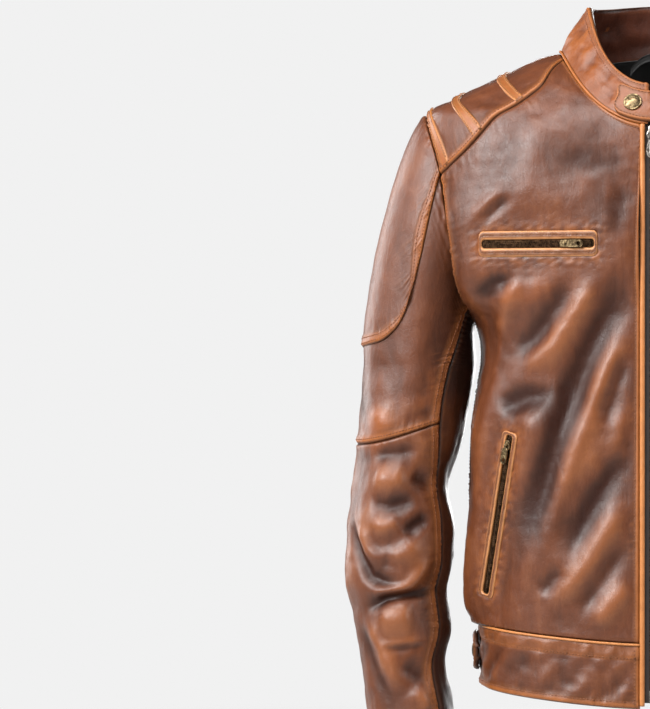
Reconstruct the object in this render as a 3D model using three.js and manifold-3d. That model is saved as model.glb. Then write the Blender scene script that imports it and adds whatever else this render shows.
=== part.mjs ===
// A leather riding jacket, size medium, worn shape with nobody in it.
// Millimetres, +Z up, the front faces -Y and the wearer's right side is at negative X.
// The origin is the top of the hanger loop at the back of the neck.
import * as THREE from 'three';
import Module from 'manifold-3d';
import { mergeVertices } from 'three/addons/utils/BufferGeometryUtils.js';

const wasm = await Module();
wasm.setup();

// ---- driving dimensions ----
const leather = 2.6;        // leather with its backing
const lining = 1.2;         // lining cloth
const liningGap = 6;        // between the leather and the lining
const seamGap = 7;          // room that a sleeve head keeps to the armhole
const zipHalf = 13;         // main zip: centre line to the edge of a front panel
const cuffHeight = 46;
const frontLineY = -112;    // the centre front at the collar seam
const frontLineZ = -83;
const frontLean = 0.0313;   // how much it comes forward for each millimetre down
const armhole = { z: -169, high: 103, front: 64, back: 68, y: 2 };
const elbow = { top: -346, bottom: -438 };
const chestZip = { from: [-168, -197], to: [-53, -197], width: 25, slider: 27, pull: 1 };
const handZip = { from: [-162, -541], to: [-136, -379], width: 20, slider: 70, pull: -1 };
const zipSlot = 8.6;        // width of a pocket zip's slot in its leather frame
const zipFrameEnd = 3;      // leather past each end of the slot
const flattenReach = 60;    // how far a flattened place takes to blend out
const collarStand = 2.6;    // room for the snap between the collar and its tab
const tabThick = 2.4;
const frontReach = 106;     // from the neck's middle to the collar's front
const snapX = -19;          // where the collar tab snaps, across
const waistTab = { tip: -9, root: 14, middle: 33, height: 38, stand: 3, thick: 3 };

// ---- small maths ----
const v3 = (x, y, z) => new THREE.Vector3(x, y, z);
const mix = (a, b, t) => a + (b - a) * t;
const rad = THREE.MathUtils.degToRad;

// a smooth curve through rows of [position, value, value, ...]
function profile(rows) {
  const slopes = rows.map((row, i) => {
    const before = rows[Math.max(i - 1, 0)];
    const after = rows[Math.min(i + 1, rows.length - 1)];
    return row.map((_, k) => (after[k] - before[k]) / (after[0] - before[0]));
  });
  return at => {
    let i = 0;
    while (i < rows.length - 2 && at > rows[i + 1][0]) i += 1;
    const [a, b] = [rows[i], rows[i + 1]];
    const h = b[0] - a[0];
    const t = Math.min(Math.max((at - a[0]) / h, 0), 1);
    const [t2, t3] = [t * t, t * t * t];
    return a.slice(1).map((_, k) => {
      const j = k + 1;
      return (2 * t3 - 3 * t2 + 1) * a[j] + (t3 - 2 * t2 + t) * h * slopes[i][j]
        + (3 * t2 - 2 * t3) * b[j] + (t3 - t2) * h * slopes[i + 1][j];
    });
  };
}

// ---- the torso surface ----
// Each ring: level up the body, half width, centre front Y, centre back Y, side Y,
// side Z, front Z, back Z, squareness.
const torsoRings = [
  [0, 172, 122, 0, -632, -642, -640, 2.5],
  [62, 173.5, 121, 0, -570, -580, -578, 2.5],
  [122, 180, 119, 0, -510, -516, -516, 2.5],
  [172, 183, 116, 0, -460, -463, -464, 2.5],
  [232, 181, 114, 0, -400, -401, -402, 2.5],
  [287, 176, 117, 0, -345, -345, -345, 2.5],
  [327, 171.5, 121, 2, -303, -302, -300, 2.5],
  [357, 177.5, 123, 4, -272, -272, -268, 2.5],
  [392, 197, 124, 5, -236, -238, -228, 2.7],
  [447, 214, 122, 6, -180, -196, -168, 2.9],
  [497, 224, 113, 6, -122, -157, -110, 2.7],
  [545, 226, 102, 5, -66, -126, -62, 2.2],
  [575, 195, 92, 6, -47, -113, -38, 2.0],
  [605, 154, 83, 7, -28, -102, -20, 1.95],
  [635, 114, 75, 8, -10, -90, -5, 2.0],
  [650, 93, 70, 9, -4, -83, 2, 2.1],
];
const torsoRing = profile(torsoRings);
const neckLevel = 650;
const hemLevel = 62;
const armpitLevel = 357;
const sideDip = 2.6;        // how sharply a ring's front and back leave the level of its sides
const frontLine = z => frontLineY + (z - frontLineZ) * frontLean;

// A ring that is a rounded rectangle in plan and dips or rises from its sides to its
// front and back. turn runs from -90 at the centre front to +90 at the centre back.
function ringPoint(ring, turn, dip) {
  const { half, front, back, side, sideZ, frontZ, backZ, square } = ring;
  const c = Math.cos(rad(turn));
  const s = Math.sin(rad(turn));
  const deep = s < 0 ? side - front : back - side;
  const reach = Math.pow(Math.pow(Math.abs(c) / half, square)
    + Math.pow(Math.abs(s) / deep, square), -1 / square);
  const z = sideZ + ((s < 0 ? frontZ : backZ) - sideZ) * Math.pow(Math.abs(s), dip);
  return v3(-reach * c, side + reach * s, z);
}
function torso(turn, level) {
  const [half, back, side, sideZ, frontZ, backZ, square] = torsoRing(level);
  const ring = { half, front: frontLine(frontZ), back, side, sideZ, frontZ, backZ, square };
  return ringPoint(ring, turn, sideDip);
}

// the (turn, level) where two coordinates of the torso take given values
function findOnTorso(axisA, a, axisB, b, turn, level) {
  for (let pass = 0; pass < 40; pass += 1) {
    const step = level < neckLevel / 2 ? 0.05 : -0.05;
    const p = torso(turn, level);
    const pt = torso(turn + step, level);
    const pl = torso(turn, level + step);
    const [ea, eb] = [a - p[axisA], b - p[axisB]];
    const m = [(pt[axisA] - p[axisA]) / step, (pl[axisA] - p[axisA]) / step,
      (pt[axisB] - p[axisB]) / step, (pl[axisB] - p[axisB]) / step];
    const det = m[0] * m[3] - m[1] * m[2];
    turn += THREE.MathUtils.clamp((ea * m[3] - eb * m[1]) / det, -8, 8);
    level += THREE.MathUtils.clamp((eb * m[0] - ea * m[2]) / det, -25, 25);
    level = THREE.MathUtils.clamp(level, 0, neckLevel);
    if (Math.abs(ea) + Math.abs(eb) < 1e-4) break;
  }
  return [turn, level];
}

// ---- the sleeve surface ----
// Each ring below the armhole: Z, centre X, half width, centre Y, half depth.
const sleeveRings = [
  [-712, -235, 41, -44, 41],
  [-659, -238, 43.5, -41, 42],
  [-610, -247, 41, -36, 43],
  [-575, -247, 47, -32, 46],
  [-535, -253.5, 48.5, -27, 49],
  [-510, -251.5, 53.5, -24, 52],
  [-470, -251, 53, -18, 54],
  [-430, -251, 48, -12, 55],
  [-393, -243.5, 52.5, -7, 56],
  [-350, -238.5, 55, -3, 58],
  [-315, -233.5, 57, 0, 60],
];
const sleeveRing = profile(sleeveRings);
const sleeveTop = -315;     // below this the sleeve's rings are level
const sleeveEnd = -712;

// where the sleeve meets the torso; around runs 0 at the shoulder, 90 in front, 180 under
function armholePoint(around) {
  const s = Math.sin(rad(around));
  const y = armhole.y - (s > 0 ? armhole.front : armhole.back) * s;
  const z = armhole.z + armhole.high * Math.cos(rad(around));
  return findOnTorso('y', y, 'z', z, y < 0 ? -15 : 15, 450);
}
function sleeveLevel(around, z) {
  const [x, half, y, deep] = sleeveRing(z);
  return v3(x - half * Math.cos(rad(around)), y - deep * Math.sin(rad(around)), z);
}
// down runs 0 at the armhole, 1 at sleeveTop, then on to 2 at the cuff's end
function sleeve(around, down) {
  if (down >= 1) return sleeveLevel(around, mix(sleeveTop, sleeveEnd, down - 1));
  const start = torso(...armholePoint(around));
  const end = sleeveLevel(around, sleeveTop);
  const drop = end.clone().sub(sleeveLevel(around, sleeveTop + 1));
  const reach = start.distanceTo(end);
  const leave = v3(-0.82, -0.2 * Math.sin(rad(around)), -0.55).multiplyScalar(0.35 * reach);
  const arrive = drop.multiplyScalar(0.9 * reach);
  const [t, t2, t3] = [down, down * down, down * down * down];
  return start.multiplyScalar(2 * t3 - 3 * t2 + 1).addScaledVector(leave, t3 - 2 * t2 + t)
    .addScaledVector(end, 3 * t2 - 2 * t3).addScaledVector(arrive, t3 - t2);
}
const downAt = z => 1 + (z - sleeveTop) / (sleeveEnd - sleeveTop);

// ---- thick panels ----
const torsoHeart = v3(0, 0, -300);
const collarHeart = v3(0, 0, 0);
const sleeveHeart = v3(-240, -10, -380);
// A panel is a grid of points on a surface, with the leather's thickness inside it.
function grid(columns, rows, pointAt) {
  return Array.from({ length: rows + 1 }, (_, j) => Array.from({ length: columns + 1 },
    (_, i) => pointAt(i / columns, j / rows)));
}
// normals of a surface at the grid's points, taken from points a hair to each side
function gridNormals(columns, rows, pointAt) {
  const hair = 0.004;
  return grid(columns, rows, (i, j) => {
    const across = pointAt(i + hair, j).sub(pointAt(i - hair, j));
    const along = pointAt(i, j + hair).sub(pointAt(i, j - hair));
    return across.cross(along).normalize();
  });
}
// the solid between a surface moved out by one distance and the same surface moved in by
// another; heart is a point inside the body, which says which way is out
function thickPanel(columnCount, rowCount, pointAt, out, into, heart = torsoHeart) {
  const points = grid(columnCount, rowCount, pointAt);
  const normals = gridNormals(columnCount, rowCount, pointAt);
  const facing = points.flat().reduce((sum, p, k) => sum
    + normals.flat()[k].dot(p.clone().sub(heart)), 0);
  if (facing < 0) normals.flat().forEach(n => n.negate());
  const rows = rowCount + 1;
  const columns = columnCount + 1;
  const moved = distance => points.flatMap((row, j) => row.map((p, i) =>
    p.clone().addScaledVector(normals[j][i], distance)));
  const vertices = [...moved(out), ...moved(-into)];
  const inner = rows * columns;
  const faces = [];
  const quad = (a, b, c, d) => faces.push(a, b, c, a, c, d);
  for (let j = 0; j < rows - 1; j += 1) {
    for (let i = 0; i < columns - 1; i += 1) {
      const a = j * columns + i;
      quad(a, a + 1, a + columns + 1, a + columns);
      quad(inner + a, inner + a + columns, inner + a + columns + 1, inner + a + 1);
    }
  }
  const edge = [];
  for (let i = 0; i < columns - 1; i += 1) edge.push(i);
  for (let j = 0; j < rows - 1; j += 1) edge.push(j * columns + columns - 1);
  for (let i = columns - 1; i > 0; i -= 1) edge.push((rows - 1) * columns + i);
  for (let j = rows - 1; j > 0; j -= 1) edge.push(j * columns);
  edge.forEach((a, k) => {
    const b = edge[(k + 1) % edge.length];
    quad(b, a, inner + a, inner + b);
  });
  const geometry = new THREE.BufferGeometry();
  geometry.setAttribute('position', new THREE.Float32BufferAttribute(
    vertices.flatMap(p => [p.x, p.y, p.z]), 3));
  geometry.setIndex(faces);
  return outward(geometry);
}
function signedVolume(geometry) {
  const at = geometry.attributes.position;
  const index = geometry.index;
  const [a, b, c] = [v3(), v3(), v3()];
  let sum = 0;
  for (let k = 0; k < index.count; k += 3) {
    a.fromBufferAttribute(at, index.getX(k));
    b.fromBufferAttribute(at, index.getX(k + 1));
    c.fromBufferAttribute(at, index.getX(k + 2));
    sum += a.dot(b.cross(c)) / 6;
  }
  return sum;
}
function outward(geometry) {
  if (signedVolume(geometry) > 0) return geometry;
  const index = Array.from(geometry.index.array);
  for (let k = 0; k < index.length; k += 3) [index[k], index[k + 1]] = [index[k + 1], index[k]];
  geometry.setIndex(index);
  return geometry;
}
// fills four edge curves of (u, v) points: bottom and top run left to right, sides run up
function patch({ bottom, top, left, right }) {
  const [bl, br, tl, tr] = [bottom(0), bottom(1), top(0), top(1)];
  return (i, j) => [0, 1].map(k => mix(bottom(i)[k], top(i)[k], j) + mix(left(j)[k], right(j)[k], i)
    - mix(mix(bl[k], br[k], i), mix(tl[k], tr[k], i), j));
}

// ---- booleans ----
function solid(geometry) {
  const bare = geometry.clone();
  bare.deleteAttribute('normal');
  bare.deleteAttribute('uv');
  const merged = mergeVertices(bare, 1e-4);
  return new wasm.Manifold(new wasm.Mesh({
    numProp: 3,
    vertProperties: new Float32Array(merged.attributes.position.array),
    triVerts: new Uint32Array(merged.index.array),
  }));
}
function geometryOf(body) {
  const { vertProperties, triVerts } = body.getMesh();
  const geometry = new THREE.BufferGeometry();
  geometry.setAttribute('position', new THREE.BufferAttribute(new Float32Array(vertProperties), 3));
  geometry.setIndex(Array.from(triVerts));
  return geometry;
}
const cut = (geometry, ...tools) => geometryOf(tools.reduce(
  (body, tool) => body.subtract(solid(tool)), solid(geometry)));
const join = (geometry, ...others) => geometryOf(others.reduce(
  (body, other) => body.add(solid(other)), solid(geometry)));

// ---- colours ----
const finish = (colour, roughness, metalness) => () => new THREE.MeshStandardMaterial(
  { color: colour, roughness, metalness });
const brownLeather = finish(0x8a5a44, 0.45, 0);
const tanLeather = finish(0xb5723f, 0.5, 0);
const liningCloth = finish(0x1b1716, 0.8, 0);
const darkBrass = finish(0x5d4a35, 0.4, 0.9);
const nickel = finish(0x9a938a, 0.35, 1);
const capBrass = finish(0x9c7a4e, 0.4, 0.9);

const jacket = new THREE.Group();
const rightSide = new THREE.Group();
const leftSide = new THREE.Group();
leftSide.scale.x = -1;
jacket.add(rightSide, leftSide);

function add(name, geometry, material, parent = jacket) {
  const mesh = new THREE.Mesh(geometry, material());
  mesh.name = name;
  parent.add(mesh);
  return mesh;
}
function addPair(name, geometry, material) {
  add(`${name}_right`, geometry, material, rightSide);
  add(`${name}_left`, geometry.clone(), material, leftSide);
}

// ---- the seams, as places on the torso ----
// turn and level of a seam point given by its X and Z as seen from the front
const fromFront = (x, z) => findOnTorso('x', x, 'z', z, -45, z < -250 ? z + 640 : 520);
const shoulderSeamRows = [
  [0.2, -186, -108], [0.38, -166, -87], [0.56, -141, -65], [0.74, -119, -50],
  [0.86, -106, -36],
].map(([t, x, z]) => [t, ...fromFront(x, z)]);
const shoulderCorner = 67;      // around the armhole, front and back
const collarCorner = [-26, neckLevel];
// the front seam of the shoulder panel, 0 at the armhole, 1 at the collar
const shoulderSeam = profile([[0, ...armholePoint(shoulderCorner)], ...shoulderSeamRows,
  [1, ...collarCorner]]);
const backCorner = armholePoint(-shoulderCorner);
const backCollarTurn = 48;
const backSeam = t => [mix(backCorner[0], backCollarTurn, t),
  mix(backCorner[1], neckLevel, Math.pow(Math.max(t, 0), 0.85))];
const armholeFront = t => armholePoint(mix(180, shoulderCorner, t));
const armholeBack = t => armholePoint(mix(180, 360 - shoulderCorner, t));

// the turn at which the front panel ends beside the zip, at a level
function zipEdge(level) {
  let turn = -85;
  for (let pass = 0; pass < 6; pass += 1) {
    turn -= (torso(turn, level).x + zipHalf) / (torso(turn + 0.5, level).x - torso(turn - 0.5, level).x);
  }
  return [turn, level];
}
// side edge from the hem to the armpit, then round the armhole
const sideShare = 0.5;
function sideThen(armholeLine, offset) {
  return t => (t < sideShare
    ? [offset, mix(hemLevel, armpitLevel, t / sideShare)]
    : armholeLine((t - sideShare) / (1 - sideShare)));
}

// ---- pocket zips: each lies in a plane of its own, with u along it, v across, n out ----
function torsoNormal(turn, level) {
  const across = torso(turn + 1, level).sub(torso(turn - 1, level));
  const up = torso(turn, level + 2).sub(torso(turn, level - 2));
  return up.cross(across).normalize();
}
function zipPlane({ from, to }) {
  const a = torso(...fromFront(...from));
  const b = torso(...fromFront(...to));
  const middle = fromFront((from[0] + to[0]) / 2, (from[1] + to[1]) / 2);
  const u = b.clone().sub(a).normalize();
  const n = torsoNormal(...middle);
  n.addScaledVector(u, -n.dot(u)).normalize();
  const v = n.clone().cross(u);
  const centre = a.clone().add(b).multiplyScalar(0.5);
  centre.addScaledVector(n, 0.6 * torso(...middle).sub(centre).dot(n));
  return { u, v, n, centre, half: a.distanceTo(b) / 2 };
}
const chestPlane = zipPlane(chestZip);
const handPlane = zipPlane(handZip);
function smooth(t) {
  const c = THREE.MathUtils.clamp(t, 0, 1);
  return c * c * (3 - 2 * c);
}
// the torso with its front flattened where a pocket zip lies
function skin(turn, level) {
  const p = torso(turn, level);
  if (turn > 5) return p;
  for (const [plane, width] of [[chestPlane, chestZip.width], [handPlane, handZip.width]]) {
    const local = p.clone().sub(plane.centre);
    const beyondU = Math.max(Math.abs(local.dot(plane.u)) - plane.half - 4, 0);
    const beyondV = Math.max(Math.abs(local.dot(plane.v)) - width / 2 - 4, 0);
    const near = 1 - smooth(Math.hypot(beyondU, beyondV) / flattenReach);
    p.addScaledVector(plane.n, -near * local.dot(plane.n));
  }
  return p;
}
const onSkin = flat => (i, j) => skin(...flat(i, j));

// ---- flat pieces ----
// the placing of a piece drawn in a pocket zip's plane
function planeMatrix({ u, v, n, centre }, alongU = 0, alongV = 0, out = 0) {
  const at = centre.clone().addScaledVector(u, alongU).addScaledVector(v, alongV)
    .addScaledVector(n, out);
  return new THREE.Matrix4().makeBasis(u, v, n).setPosition(at);
}
function block(length, width, thick, matrix) {
  return new THREE.BoxGeometry(length, width, thick).applyMatrix4(matrix);
}
function roundedOutline(length, width, radius) {
  const [x, y] = [length / 2 - radius, width / 2 - radius];
  const shape = new THREE.Shape();
  shape.absarc(x, -y, radius, -Math.PI / 2, 0);
  shape.absarc(x, y, radius, 0, Math.PI / 2);
  shape.absarc(-x, y, radius, Math.PI / 2, Math.PI);
  shape.absarc(-x, -y, radius, Math.PI, 1.5 * Math.PI);
  return shape;
}
function slab(shape, from, to) {
  return new THREE.ExtrudeGeometry(shape, { depth: to - from, bevelEnabled: false, curveSegments: 3 })
    .translate(0, 0, from);
}

// ---- front, back and shoulder panels ----
const collarShare = 0.5;
const zipShare = 0.83;      // share of a front panel's inner edge that runs beside the zip
const frontPanelMap = patch({
  bottom: t => [mix(-0.2, zipEdge(hemLevel)[0], t), hemLevel],
  top: shoulderSeam,
  left: sideThen(armholeFront, -0.2),
  right: t => (t < zipShare ? zipEdge(mix(hemLevel, neckLevel, t / zipShare))
    : [mix(zipEdge(neckLevel)[0], collarCorner[0], (t - zipShare) / (1 - zipShare)), neckLevel]),
});
const backHalfMap = patch({
  bottom: t => [mix(0.2, 90, t), hemLevel],
  top: t => (t < collarShare ? backSeam(t / collarShare)
    : [mix(backCollarTurn, 90, (t - collarShare) / (1 - collarShare)), neckLevel]),
  left: sideThen(armholeBack, 0.2),
  right: t => [90, mix(hemLevel, neckLevel, t)],
});
const shoulderMap = patch({
  bottom: t => armholePoint(mix(shoulderCorner, -shoulderCorner, t)),
  top: t => [mix(collarCorner[0], backCollarTurn, t), neckLevel],
  left: shoulderSeam,
  right: backSeam,
});
// keeps a map's edges a little inside its seams
function inset(map, across, along) {
  return (i, j) => map(mix(across, 1 - across, i), mix(along, 1 - along, j));
}
// a half map run from one side of the body, through the middle, to the other side
function bothHalves(pointAt) {
  return (i, j) => {
    const p = pointAt(1 - Math.abs(2 * i - 1), j);
    return i > 0.5 ? v3(-p.x, p.y, p.z) : p;
  };
}
const frontMap = inset(frontPanelMap, 0, 0.0015);
const backPoints = bothHalves(onSkin(inset(backHalfMap, 0, 0.0015)));

function slotCut(plane, spec) {
  return block(2 * plane.half + 0.8, spec.width + 0.8, 30, planeMatrix(plane));
}
addPair('front_panel', cut(thickPanel(10, 18, onSkin(frontMap), 0, leather),
  slotCut(chestPlane, chestZip), slotCut(handPlane, handZip)), brownLeather);
add('back_panel', thickPanel(20, 14, backPoints, 0, leather), brownLeather);
addPair('shoulder_panel', thickPanel(8, 10, onSkin(inset(shoulderMap, 0.006, 0.004)), 0, leather),
  brownLeather);
// raised bands across the shoulder: where each crosses the front seam and the back seam
const bands = [[0.02, 0.085], [0.31, 0.085], [0.62, 0.075]];      // start and width, up the shoulder
bands.forEach(([start, width], k) => {
  const band = (i, j) => skin(...shoulderMap(mix(0.02, 0.98, i), start + width * j));
  addPair(`shoulder_band_${k + 1}`, thickPanel(8, 1, band, 2.4, -0.9), tanLeather);
});

// ---- lining ----
const liningOut = leather + liningGap;
const liningPoints = bothHalves((i, j) => torso(mix(26, 90, i), mix(4, neckLevel - 4, j)));
add('back_lining', thickPanel(14, 12, liningPoints, -liningOut, liningOut + lining), liningCloth);

// ---- collar ----
const neckRing = { half: 93, front: -112, back: 70, side: 9, sideZ: -4, frontZ: -83, backZ: 2, square: 2.1 };
const collarRing = { half: 64, front: -92, back: 62, side: 5, sideZ: 42, frontZ: -42, backZ: 48,
  square: 2.1 };
// up runs 0 at the neck seam to 1 at the collar's top edge
function collar(turn, up) {
  const p = ringPoint(neckRing, turn, sideDip);
  const top = ringPoint(collarRing, turn, 2.4);
  const belly = 4 * up * (1 - up) * 1.5;
  const out = v3(p.x, p.y, 0).normalize().multiplyScalar(belly);
  return p.lerp(top, up).add(out);
}
const collarEnd = -87.2;
const collarSweep = (low, high) => bothHalves((i, j) => collar(mix(collarEnd, 90, i), mix(low, high, j)));
add('collar_outer', thickPanel(28, 3, collarSweep(0.08, 1), 0, 2.2, collarHeart), brownLeather);
add('collar_facing', thickPanel(28, 3, collarSweep(0.11, 0.985), -2.6, 4.4, collarHeart), brownLeather);

// ---- collar tab: sewn on the wearer's left, snapped on the wearer's right ----
const tabMiddle = 0.39;     // height of its centre line up the collar
const tabHalf = 0.37;       // half its width, as a share of the collar's height
const tabTip = -37;
const tabRoot = 13;
const tabCorner = 8;        // corner radius at its tip
const tabSquare = 0.52;     // that radius as a share of half its width
function tabPoint(i, j) {
  const x = mix(tabTip, tabRoot, i);
  const turn = -90 + THREE.MathUtils.radToDeg(Math.atan(Math.abs(x) / frontReach));
  const corner = THREE.MathUtils.clamp(1 - (x - tabTip) / tabCorner, 0, 1);
  const round = 1 - tabSquare * (1 - Math.sqrt(1 - corner * corner));
  const p = collar(turn, tabMiddle + tabHalf * round * (2 * j - 1));
  return x > 0 ? v3(-p.x, p.y, p.z) : p;
}
add('collar_tab', thickPanel(14, 3, tabPoint, collarStand + tabThick, -collarStand), brownLeather);
// a turned piece standing on a point of a surface, its axis along the surface's normal
function turned(outline, at, normal) {
  const geometry = new THREE.LatheGeometry(outline.map(([r, h]) => new THREE.Vector2(r, h)), 20);
  const turn = new THREE.Quaternion().setFromUnitVectors(v3(0, 1, 0), normal);
  return geometry.applyQuaternion(turn).translate(at.x, at.y, at.z);
}
const snapTurn = -90 + THREE.MathUtils.radToDeg(Math.atan(-snapX / frontReach));
const snapFoot = collar(snapTurn, tabMiddle);
const snapOut = collar(snapTurn - 1, tabMiddle).sub(collar(snapTurn + 1, tabMiddle))
  .cross(collar(snapTurn, tabMiddle + 0.05).sub(collar(snapTurn, tabMiddle - 0.05))).normalize();
const domeFoot = collarStand + tabThick + 0.4;
add('collar_snap_cap', turned([[0, domeFoot], [8.6, domeFoot], [8.8, domeFoot + 1], [7.2, domeFoot + 2.2],
  [0, domeFoot + 2.8]], snapFoot, snapOut), capBrass);
add('collar_snap_stud', turned([[0, 0.4], [4.5, 0.4], [4.5, 1], [2.6, 1.2], [2.6, 2], [0, 2]],
  snapFoot, snapOut), nickel);

// ---- hem band and waist tabs ----
const hemThick = 4;
const hemTop = hemLevel - 1.2;
const hemSplit = 22;        // turn where the front band meets the back band
addPair('hem_front', thickPanel(12, 2, (i, j) => torso(
  mix(hemSplit - 0.2, zipEdge(0)[0], i), hemTop * j), 0.6, hemThick), brownLeather);
add('hem_back', thickPanel(16, 2, bothHalves((i, j) => torso(
  mix(hemSplit + 0.2, 90, i), hemTop * j)), 0.6, hemThick), brownLeather);
function waistTabPoint(i, j) {
  const turn = mix(waistTab.tip, waistTab.root, i);
  const round = Math.sqrt(Math.max(1 - Math.pow(Math.max(1 - i * 4.5, 0), 2), 0.1));
  const level = waistTab.middle + waistTab.height * round * (j - 0.5);
  return torso(turn, level);
}
addPair('waist_tab', thickPanel(10, 2, waistTabPoint, waistTab.stand + waistTab.thick,
  -waistTab.stand), brownLeather);

// ---- main zip ----
// Lengths run down the centre line from the collar seam; the line leans with the front.
const zipTilt = Math.atan(frontLean);
const zipMatrix = new THREE.Matrix4().makeRotationX(-zipTilt).setPosition(0, frontLineY, frontLineZ);
const zipLength = 553;
// a box given across, outward and down the zip line
function zipBlock([x0, x1], [out0, out1], [down0, down1]) {
  return new THREE.BoxGeometry(x1 - x0, out1 - out0, down1 - down0)
    .translate((x0 + x1) / 2, -(out0 + out1) / 2, -(down0 + down1) / 2).applyMatrix4(zipMatrix);
}
const tapeEdge = zipHalf - 0.8;
addPair('zip_half', join(zipBlock([-tapeEdge, -2.5], [-2.6, -1.2], [2, zipLength]),
  zipBlock([-3.4, -0.3], [-3.4, -0.4], [2, zipLength])), darkBrass);
const sliderTop = 1;
const pullPin = sliderTop + 4.5;
const pullLength = 28;
add('zip_slider', join(zipBlock([-5.5, 5.5], [0, 2.2], [sliderTop, sliderTop + 15]),
  zipBlock([-1.6, 1.6], [2, 6], [sliderTop + 0.6, sliderTop + 4])), nickel);
const pullShape = roundedOutline(15, pullLength, 5);
pullShape.holes.push(new THREE.Path().absarc(0, -8, 3.2, 0, 2 * Math.PI, true));
add('zip_puller', slab(pullShape, 3.2, 4.8).rotateX(Math.PI / 2).translate(0, 0, -pullPin - pullLength / 2)
  .applyMatrix4(zipMatrix), nickel);
add('zip_stop', zipBlock([-4.5, 4.5], [0, 1.6], [zipLength - 12, zipLength - 1]), nickel);

// ---- pocket zips ----
function pocketZip(name, spec, plane) {
  const length = 2 * plane.half;
  const slot = length - 2 * zipFrameEnd;
  const place = planeMatrix(plane);
  const frame = roundedOutline(length, spec.width, 5);
  frame.holes.push(roundedOutline(slot, zipSlot, 3));
  addPair(`${name}_zip_frame`, slab(frame, -leather, 1.2).applyMatrix4(place), tanLeather);
  addPair(`${name}_zip_chain`, slab(roundedOutline(slot - 0.8, zipSlot - 0.8, 2.6), -leather, 0)
    .applyMatrix4(place), darkBrass);
  addPair(`${name}_zip_slider`, join(block(9, 7, 1.8, planeMatrix(plane, spec.slider, 0, 1.3)),
    block(2.4, 3, 3.4, planeMatrix(plane, spec.slider, 0, 3.7))), darkBrass);
  const pull = roundedOutline(17, 7.4, 3.4);
  pull.holes.push(new THREE.Path().absarc(4.4 * spec.pull, 0, 1.9, 0, 2 * Math.PI, true));
  addPair(`${name}_zip_puller`, slab(pull, 3, 4.4)
    .applyMatrix4(planeMatrix(plane, spec.slider + 10.3 * spec.pull)), darkBrass);
}
pocketZip('chest', chestZip, chestPlane);
pocketZip('hand', handZip, handPlane);

// ---- sleeves ----
// Seams run down the sleeve as (down, around); the back seam mirrors a plain line.
const sleeveFrontSeam = profile([[0, 152], [0.35, 147], [0.68, 138], [1, 126.5],
  [downAt(-350), 125], [downAt(-390), 129], [downAt(-430), 143], [downAt(-495), 145],
  [downAt(-550), 146], [downAt(-610), 139], [downAt(-659), 134], [2, 130]]);
const sleeveBackSeam = profile([[0, -140], [1, -128], [2, -124]]);
// the edge of the shoulder patch, from the armhole in front round to the armhole behind
const patchFrontEdge = [[0, shoulderCorner, 0], [0.1, 75.5, 0.2], [0.2, 80.5, 0.4], [0.28, 79, 0.6],
  [0.34, 74, 0.75], [0.39, 64, 0.84], [0.44, 45, 0.9]];
const patchEdge = profile([...patchFrontEdge, [0.5, 0, 0.93],
  ...patchFrontEdge.map(([t, around, down]) => [1 - t, -around, down]).reverse()]);
const elbowTop = downAt(elbow.top);
const elbowBottom = downAt(elbow.bottom);
const cuffTop = downAt(sleeveEnd + cuffHeight);

// the sleeve kept seamGap clear of the armhole
function clearSleeve(around, down) {
  if (down >= 1) return sleeve(around, down);
  const reach = torso(...armholePoint(around)).distanceTo(sleeveLevel(around, sleeveTop));
  return sleeve(around, mix(seamGap / reach, 1, down));
}
const onSleeve = flat => (i, j) => clearSleeve(...flat(i, j));
const side = 0.34;          // share of the upper sleeve's outline that runs down each seam
function upperOutline(t) {
  if (t < side) return [sleeveFrontSeam(elbowTop * t / side)[0], elbowTop * t / side];
  if (t > 1 - side) return [sleeveBackSeam(elbowTop * (1 - t) / side)[0], elbowTop * (1 - t) / side];
  const [front, back] = [sleeveFrontSeam(elbowTop)[0], sleeveBackSeam(elbowTop)[0]];
  return [mix(front, back, (t - side) / (1 - 2 * side)), elbowTop];
}
const upperMap = patch({
  bottom: patchEdge,
  top: upperOutline,
  left: t => [mix(shoulderCorner, sleeveFrontSeam(0)[0], t), 0],
  right: t => [mix(-shoulderCorner, sleeveBackSeam(0)[0], t), 0],
});
const patchShare = 0.3;
const patchMap = patch({
  bottom: t => [mix(shoulderCorner, -shoulderCorner, t), 0],
  top: t => patchEdge(mix(patchShare, 1 - patchShare, t)),
  left: t => patchEdge(patchShare * t),
  right: t => patchEdge(1 - patchShare * t),
});
const underMap = (from, to) => (i, j) => {
  const down = mix(from, to, j);
  return [mix(sleeveFrontSeam(down)[0], 360 + sleeveBackSeam(down)[0], i), down];
};
const outerMap = (from, to) => (i, j) => {
  const down = mix(from, to, j);
  return [mix(sleeveBackSeam(down)[0], sleeveFrontSeam(down)[0], i), down];
};
const ringMap = (from, to) => (i, j) => [mix(-124, 235.2, i), mix(from, to, j)];
function sleevePanel(name, columns, rows, map, material = brownLeather, thick = leather) {
  addPair(name, thickPanel(columns, rows, onSleeve(map), 0, thick, sleeveHeart), material);
}
sleevePanel('sleeve_patch', 8, 8, inset(patchMap, 0.004, 0.004));
sleevePanel('sleeve_upper', 24, 3, inset(upperMap, 0.002, 0.008));
sleevePanel('under_upper', 5, 5, inset(underMap(0, elbowTop), 0.006, 0.002));
sleevePanel('sleeve_elbow', 16, 1, ringMap(elbowTop + 0.003, elbowBottom - 0.003));
sleevePanel('sleeve_lower', 10, 6, inset(outerMap(elbowBottom, cuffTop), 0.002, 0.001));
sleevePanel('under_lower', 5, 6, inset(underMap(elbowBottom, cuffTop), 0.005, 0.001));
sleevePanel('cuff', 16, 1, ringMap(cuffTop + 0.003, 2), brownLeather, 3.6);

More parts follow.
